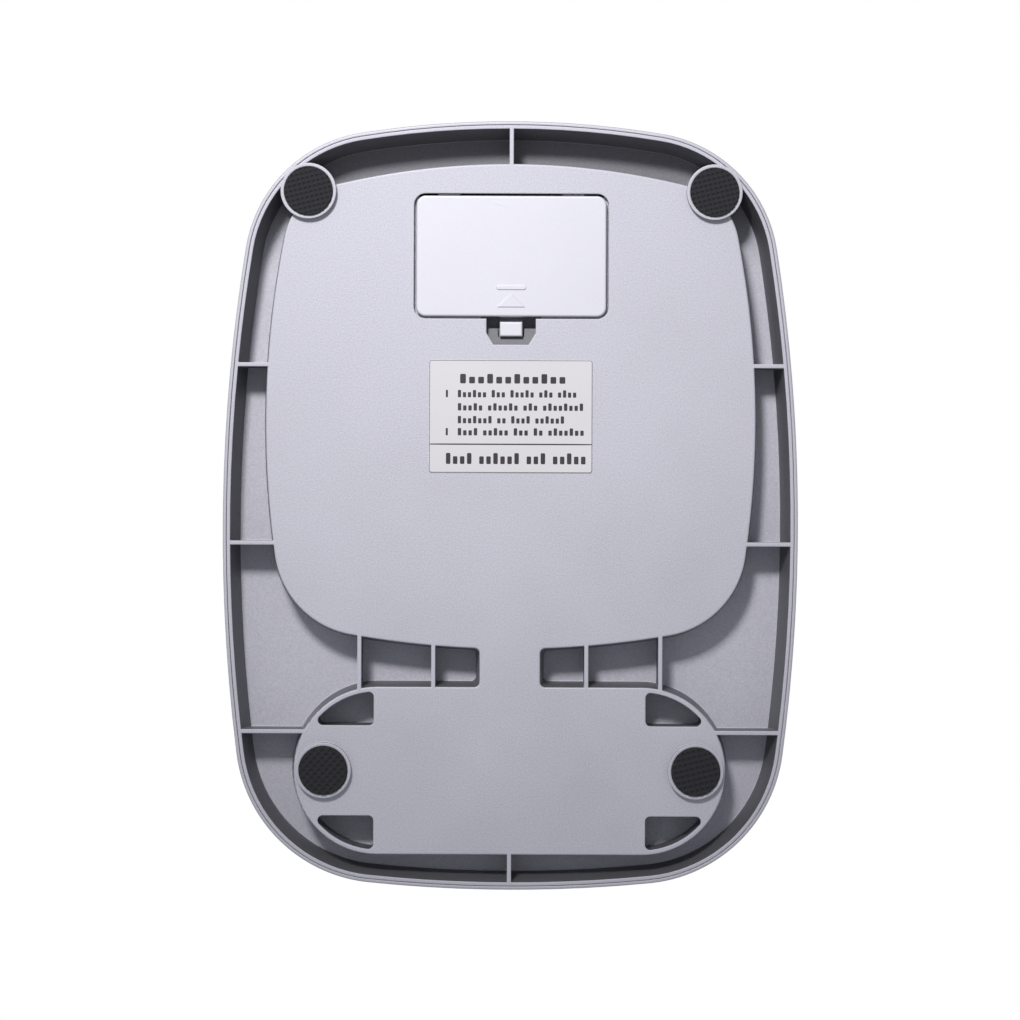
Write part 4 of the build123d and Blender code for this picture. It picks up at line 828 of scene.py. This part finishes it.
class SCALE_OT_label_print(bpy.types.Operator):
    """Print the label: a thin frame, a dividing line and rows of plain blocks"""
    bl_idname = "scale.label_print"
    bl_label = "Label printing"

    def execute(self, context):
        ink = context.scene.scale_marks.ink
        low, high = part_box("rating_label")
        width, depth = high.x - low.x - 2 * LABEL_MARGIN, high.y - low.y - 2 * LABEL_MARGIN
        centre = (low + high) / 2
        outline = primitive(bpy.ops.mesh.primitive_plane_add, "outline", size=1.0, location=(0, 0, 0))
        bpy.ops.transform.resize(value=(width, depth, 1.0))
        bpy.ops.mesh.bevel(offset=LABEL_CORNER, segments=4, affect="VERTICES")
        bpy.ops.mesh.select_all(action="SELECT")
        bpy.ops.mesh.inset(thickness=LABEL_LINE, depth=0.0)
        bpy.ops.mesh.delete(type="FACE")
        bpy.ops.mesh.select_all(action="SELECT")
        bpy.ops.transform.translate(value=(centre.x, centre.y, low.z))
        thicken(-ink)
        close_up(outline)
        block = stamp("block", 0.16)
        pieces = [outline, stamped(block, "divider", 0.0, DIVIDER_Y, low.z, width - LABEL_LINE,
                                   DIVIDER_DEPTH, ink)]
        for row in LABEL_ROWS:
            pieces += text_blocks(block, row, low.z, ink)
        discard(block)
        printing = joined(pieces, "label_printing")
        material = ink_material("printing_ink", context.scene.scale_finish.ink, 0.45, Speckle=0.12, Cloud=0.1)
        finish_piece(printing, material, "base")
        return {"FINISHED"}


# ---------------------------------------------------------------- display and button marks
DIGIT = "abcdef"          # lit segments of a nought
DIGIT_PLACES = (0.5, 1.5)  # middles of the lit digits, in digit pitches
SLANT = 0.08              # lean of a digit, as run over rise
SEGMENT_GAP = 0.12 * MM
POINT_SIZE = 1.3          # of the decimal point, in mm


def segment(name, length, stroke, ink):
    """One display segment along X with pointed ends."""
    bar = primitive(bpy.ops.mesh.primitive_plane_add, name, size=1.0, location=(0, 0, 0))
    body = length - stroke
    bpy.ops.transform.resize(value=(body, stroke, 1.0))
    for side in (-1, 1):
        pick(bar, "EDGE", lambda e: middle(e).x * side > 0.49 * body and abs(middle(e).y) < 0.1 * stroke)
        bpy.ops.mesh.extrude_region_move(TRANSFORM_OT_translate={"value": (side * stroke / 2, 0, 0)})
        bpy.ops.transform.resize(value=(1.0, 0.0, 1.0), center_override=(side * length / 2, 0, 0))
    bpy.ops.mesh.select_all(action="SELECT")
    bpy.ops.mesh.remove_doubles(threshold=0.001 * MM)
    thicken(ink)
    return close_up(bar)


class SCALE_OT_display_digits(bpy.types.Operator):
    """Lay the lit digits of the display on its glass"""
    bl_idname = "scale.display_digits"
    bl_label = "Display digits"

    def execute(self, context):
        marks = context.scene.scale_marks
        glass = top_centre("lcd_glass")
        wide_length = marks.digit_width - marks.stroke - 2 * SEGMENT_GAP
        tall_length = marks.digit_height / 2 - marks.stroke / 2 - 2 * SEGMENT_GAP
        wide = segment("wide", wide_length, marks.stroke, marks.ink)
        tall = segment("tall", tall_length, marks.stroke, marks.ink)
        x_side = marks.digit_width / 2 - marks.stroke / 2
        y_end = marks.digit_height / 2 - marks.stroke / 2
        quarter = Matrix.Rotation(pi / 2, 4, "Z")
        spots = {"a": (wide, 0, y_end, False), "d": (wide, 0, -y_end, False), "g": (wide, 0, 0, False),
                 "b": (tall, x_side, y_end / 2, True), "c": (tall, x_side, -y_end / 2, True),
                 "e": (tall, -x_side, -y_end / 2, True), "f": (tall, -x_side, y_end / 2, True)}
        slant = Matrix.Identity(4)
        slant[0][1] = SLANT
        pieces = []
        for place in DIGIT_PLACES:
            home = Matrix.Translation((place * marks.digit_pitch, glass.y, glass.z)) @ slant
            for letter in DIGIT:
                bar, x, y, upright = spots[letter]
                turn = quarter if upright else Matrix.Identity(4)
                pieces.append(copied(bar, "lit", home @ Matrix.Translation((x, y, 0)) @ turn))
        dot = stamp("dot", 0.2)
        point = Matrix.Translation((marks.digit_pitch, glass.y, glass.z + marks.ink)) @ slant
        scale = Matrix.Diagonal((POINT_SIZE, POINT_SIZE, marks.ink / MM, 1))
        pieces.append(copied(dot, "point", point @ Matrix.Translation((0, -y_end, 0)) @ scale))
        for spare in (wide, tall, dot):
            discard(spare)
        digits = joined(pieces, "display_digits")
        material = ink_material("lit_segments", (0.022, 0.026, 0.024), 0.3, Speckle=0.1)
        finish_piece(digits, material, "base")
        return {"FINISHED"}


RING_GAP = 38.0           # half the gap in the power symbol's ring, in degrees
# Sizes in symbol radii.
BAR_OFFSET, BAR_LENGTH = 0.75, 1.1
ARROW_SIZE, ARROW_OFFSET, ARROW_CORNER = 0.75, 0.62, 0.12


class SCALE_OT_button_marks(bpy.types.Operator):
    """Print the power symbol and the unit arrows on the two buttons"""
    bl_idname = "scale.button_marks"
    bl_label = "Button marks"

    def execute(self, context):
        marks = context.scene.scale_marks
        radius, stroke, ink = marks.symbol_radius, marks.symbol_stroke, marks.ink
        material = ink_material("mark_ink", (0.72, 0.72, 0.74), 0.4)
        # Power symbol: a ring with a gap at the top, and a bar in the gap.
        ring = primitive(bpy.ops.mesh.primitive_plane_add, "ring", size=1.0, location=(0, 0, 0))
        start = 0.02 * MM
        bpy.ops.transform.resize(value=(stroke, start, 1.0))
        bpy.ops.transform.translate(value=(radius, 0, 0))
        pick(ring, "EDGE", lambda e: middle(e).y > start / 4 and abs(middle(e).x - radius) < stroke / 4)
        bpy.ops.mesh.spin(steps=48, angle=2 * pi - 2 * radians(RING_GAP), center=(0, 0, 0), axis=(0, 0, 1))
        thicken(ink)
        close_up(ring)
        # The middle of the arc is turned to -Y, which leaves the gap at +Y.
        arc = sum((v.co for v in ring.data.vertices), Vector()) / len(ring.data.vertices)
        turn = Vector((1, 0)).angle_signed(arc.xy) - pi / 2
        ring.data.transform(Matrix.Rotation(turn, 4, "Z"))
        block = stamp("block", 0.3)
        home = top_centre("power_button")
        ring.data.transform(Matrix.Translation(home))
        bar = stamped(block, "bar", home.x, home.y + BAR_OFFSET * radius, home.z + ink, stroke,
                      BAR_LENGTH * radius, ink)
        power = joined([ring, bar], "power_symbol")
        finish_piece(power, material, "power_button")
        # Unit symbol: one arrowhead up and one down.
        home = top_centre("unit_button")
        head = primitive(bpy.ops.mesh.primitive_circle_add, "head", vertices=3, radius=ARROW_SIZE * radius,
                         fill_type="NGON", location=(0, 0, 0))
        bpy.ops.mesh.bevel(offset=ARROW_CORNER * radius, segments=3, affect="VERTICES")
        thicken(ink)
        close_up(head)
        arrows = []
        for side in (-1, 1):
            turned = Matrix.Rotation(0 if side > 0 else pi, 4, "Z")
            place = Matrix.Translation(home + Vector((0, side * ARROW_OFFSET * radius, 0)))
            arrows.append(copied(head, "arrow", place @ turned))
        discard(head)
        discard(block)
        unit = joined(arrows, "unit_symbol")
        finish_piece(unit, material, "unit_button")
        return {"FINISHED"}


# ---------------------------------------------------------------- studio
# Each light's place, the point it faces, its size in metres, its colour and its spread in degrees.
LIGHTS = {
    "key_below": ((0.25, 0.68, -1.0), (0.014, 0.088, 0.0), 0.2, (1.0, 0.99, 1.0), 25.0),
    "key_above": ((-0.45, -0.55, 0.85), (0.0, 0.0, 0.02), 0.6, (1.0, 0.98, 0.96), 180.0),
    "fill_above": ((0.7, 0.1, 0.6), (0.0, 0.0, 0.02), 0.9, (0.94, 0.97, 1.0), 180.0),
}
FILL_SHARE = 0.35         # power of the upper fill light, as a share of the upper key's
CAMERA_X, CAMERA_Y = 0.1 * MM, -1.23 * MM
UNDERSIDE_Z = 2.5 * MM    # height that the camera's distance is measured from
FLOOR_SIZE = 6.0


def area_light(name, power, place, target, size, colour, spread):
    """A square soft light, held by a grid to its spread."""
    lamp = bpy.data.lights.new(name, "AREA")
    lamp.shape = "RECTANGLE"
    lamp.size = lamp.size_y = size
    lamp.energy = power
    lamp.color = colour
    lamp.spread = radians(spread)
    made = bpy.data.objects.new(name, lamp)
    made.location = place
    made.rotation_euler = (Vector(target) - Vector(place)).to_track_quat("-Z", "Y").to_euler()
    bpy.context.scene.collection.objects.link(made)


def floor_material():
    """Pale floor seen from above, and nothing seen from below."""
    made, tree, shader = new_material("pale_floor", Base_Color=(0.86, 0.86, 0.87, 1), Roughness=0.9)
    clear = node(tree, "ShaderNodeBsdfTransparent")
    back = node(tree, "ShaderNodeNewGeometry").outputs["Backfacing"]
    both = node(tree, "ShaderNodeMixShader", {0: back, 1: shader.outputs[0], 2: clear.outputs[0]})
    tree.links.new(both.outputs[0], tree.nodes["Material Output"].inputs["Surface"])
    return made


class SCALE_OT_studio(bpy.types.Operator):
    """Set the floor, the lights, the surroundings and the camera under the scale"""
    bl_idname = "scale.studio"
    bl_label = "Studio"

    def execute(self, context):
        scene, studio = context.scene, context.scene.scale_studio
        scene.view_settings.view_transform = "Standard"
        scene.view_settings.look = "None"
        floor = primitive(bpy.ops.mesh.primitive_plane_add, "studio_floor", size=FLOOR_SIZE,
                          location=(0, 0, 0))
        bpy.ops.mesh.subdivide(number_cuts=3)
        close_up(floor)
        floor.data.materials.append(floor_material())
        floor.visible_diffuse = floor.visible_glossy = floor.visible_shadow = False
        # Surroundings: white to the camera, softer as light.
        world = bpy.data.worlds.new("surroundings")
        scene.world = world
        world.use_nodes = True
        tree = world.node_tree
        tree.nodes.clear()
        seen = node(tree, "ShaderNodeLightPath").outputs["Is Camera Ray"]
        white = node(tree, "ShaderNodeBackground", {"Color": (1, 1, 1, 1), "Strength": 1.0})
        soft = node(tree, "ShaderNodeBackground", {"Color": (0.9, 0.92, 1.0, 1), "Strength": studio.fill})
        both = node(tree, "ShaderNodeMixShader", {0: seen, 1: soft.outputs[0], 2: white.outputs[0]})
        node(tree, "ShaderNodeOutputWorld", {"Surface": both.outputs[0]})
        powers = {"key_below": studio.key, "key_above": studio.top, "fill_above": studio.top * FILL_SHARE}
        for name, light in LIGHTS.items():
            area_light(name, powers[name], *light)
        lens = bpy.data.cameras.new("camera")
        lens.lens = lens.sensor_width * studio.distance / studio.width
        lens.clip_start, lens.clip_end = 0.05, 20.0
        camera = bpy.data.objects.new("camera", lens)
        camera.location = (CAMERA_X, CAMERA_Y, UNDERSIDE_Z - studio.distance)
        camera.rotation_euler = (0.0, pi, radians(studio.roll))
        scene.collection.objects.link(camera)
        scene.camera = camera
        return {"FINISHED"}


# ---------------------------------------------------------------- add-on
STEPS = ("finish_frame", "grip_pads", "label_print", "display_digits", "button_marks", "studio")


class SCALE_PT_panel(bpy.types.Panel):
    """Lists the steps that make the scale, with their sizes and colours"""
    bl_idname = "SCALE_PT_panel"
    bl_label = "Table-top scale"
    bl_space_type = "VIEW_3D"
    bl_region_type = "UI"
    bl_category = "Scale"

    def draw(self, context):
        layout = self.layout
        for step in STEPS:
            layout.operator(f"scale.{step}")
        for group in (context.scene.scale_finish, context.scene.scale_pads, context.scene.scale_marks,
                      context.scene.scale_studio):
            box = layout.box()
            for name in group.bl_rna.properties.keys():
                if name not in ("rna_type", "name"):
                    box.prop(group, name)


SETTINGS = {"scale_finish": ScaleFinishSettings, "scale_pads": ScalePadSettings,
            "scale_marks": ScaleMarkSettings, "scale_studio": ScaleStudioSettings}
CLASSES = (*SETTINGS.values(), SCALE_OT_finish_frame, SCALE_OT_grip_pads, SCALE_OT_label_print,
           SCALE_OT_display_digits, SCALE_OT_button_marks, SCALE_OT_studio, SCALE_PT_panel)


def register():
    """Register every class and hang the settings on the scene."""
    for kind in CLASSES:
        bpy.utils.register_class(kind)
    for name, kind in SETTINGS.items():
        setattr(bpy.types.Scene, name, PointerProperty(type=kind))


def unregister():
    """Undo register."""
    for name in SETTINGS:
        delattr(bpy.types.Scene, name)
    for kind in reversed(CLASSES):
        bpy.utils.unregister_class(kind)


def main():
    """Make the scale step by step."""
    register()
    for step in STEPS:
        getattr(bpy.ops.scale, step)()
    deselect()


if __name__ == "__main__":
    main()
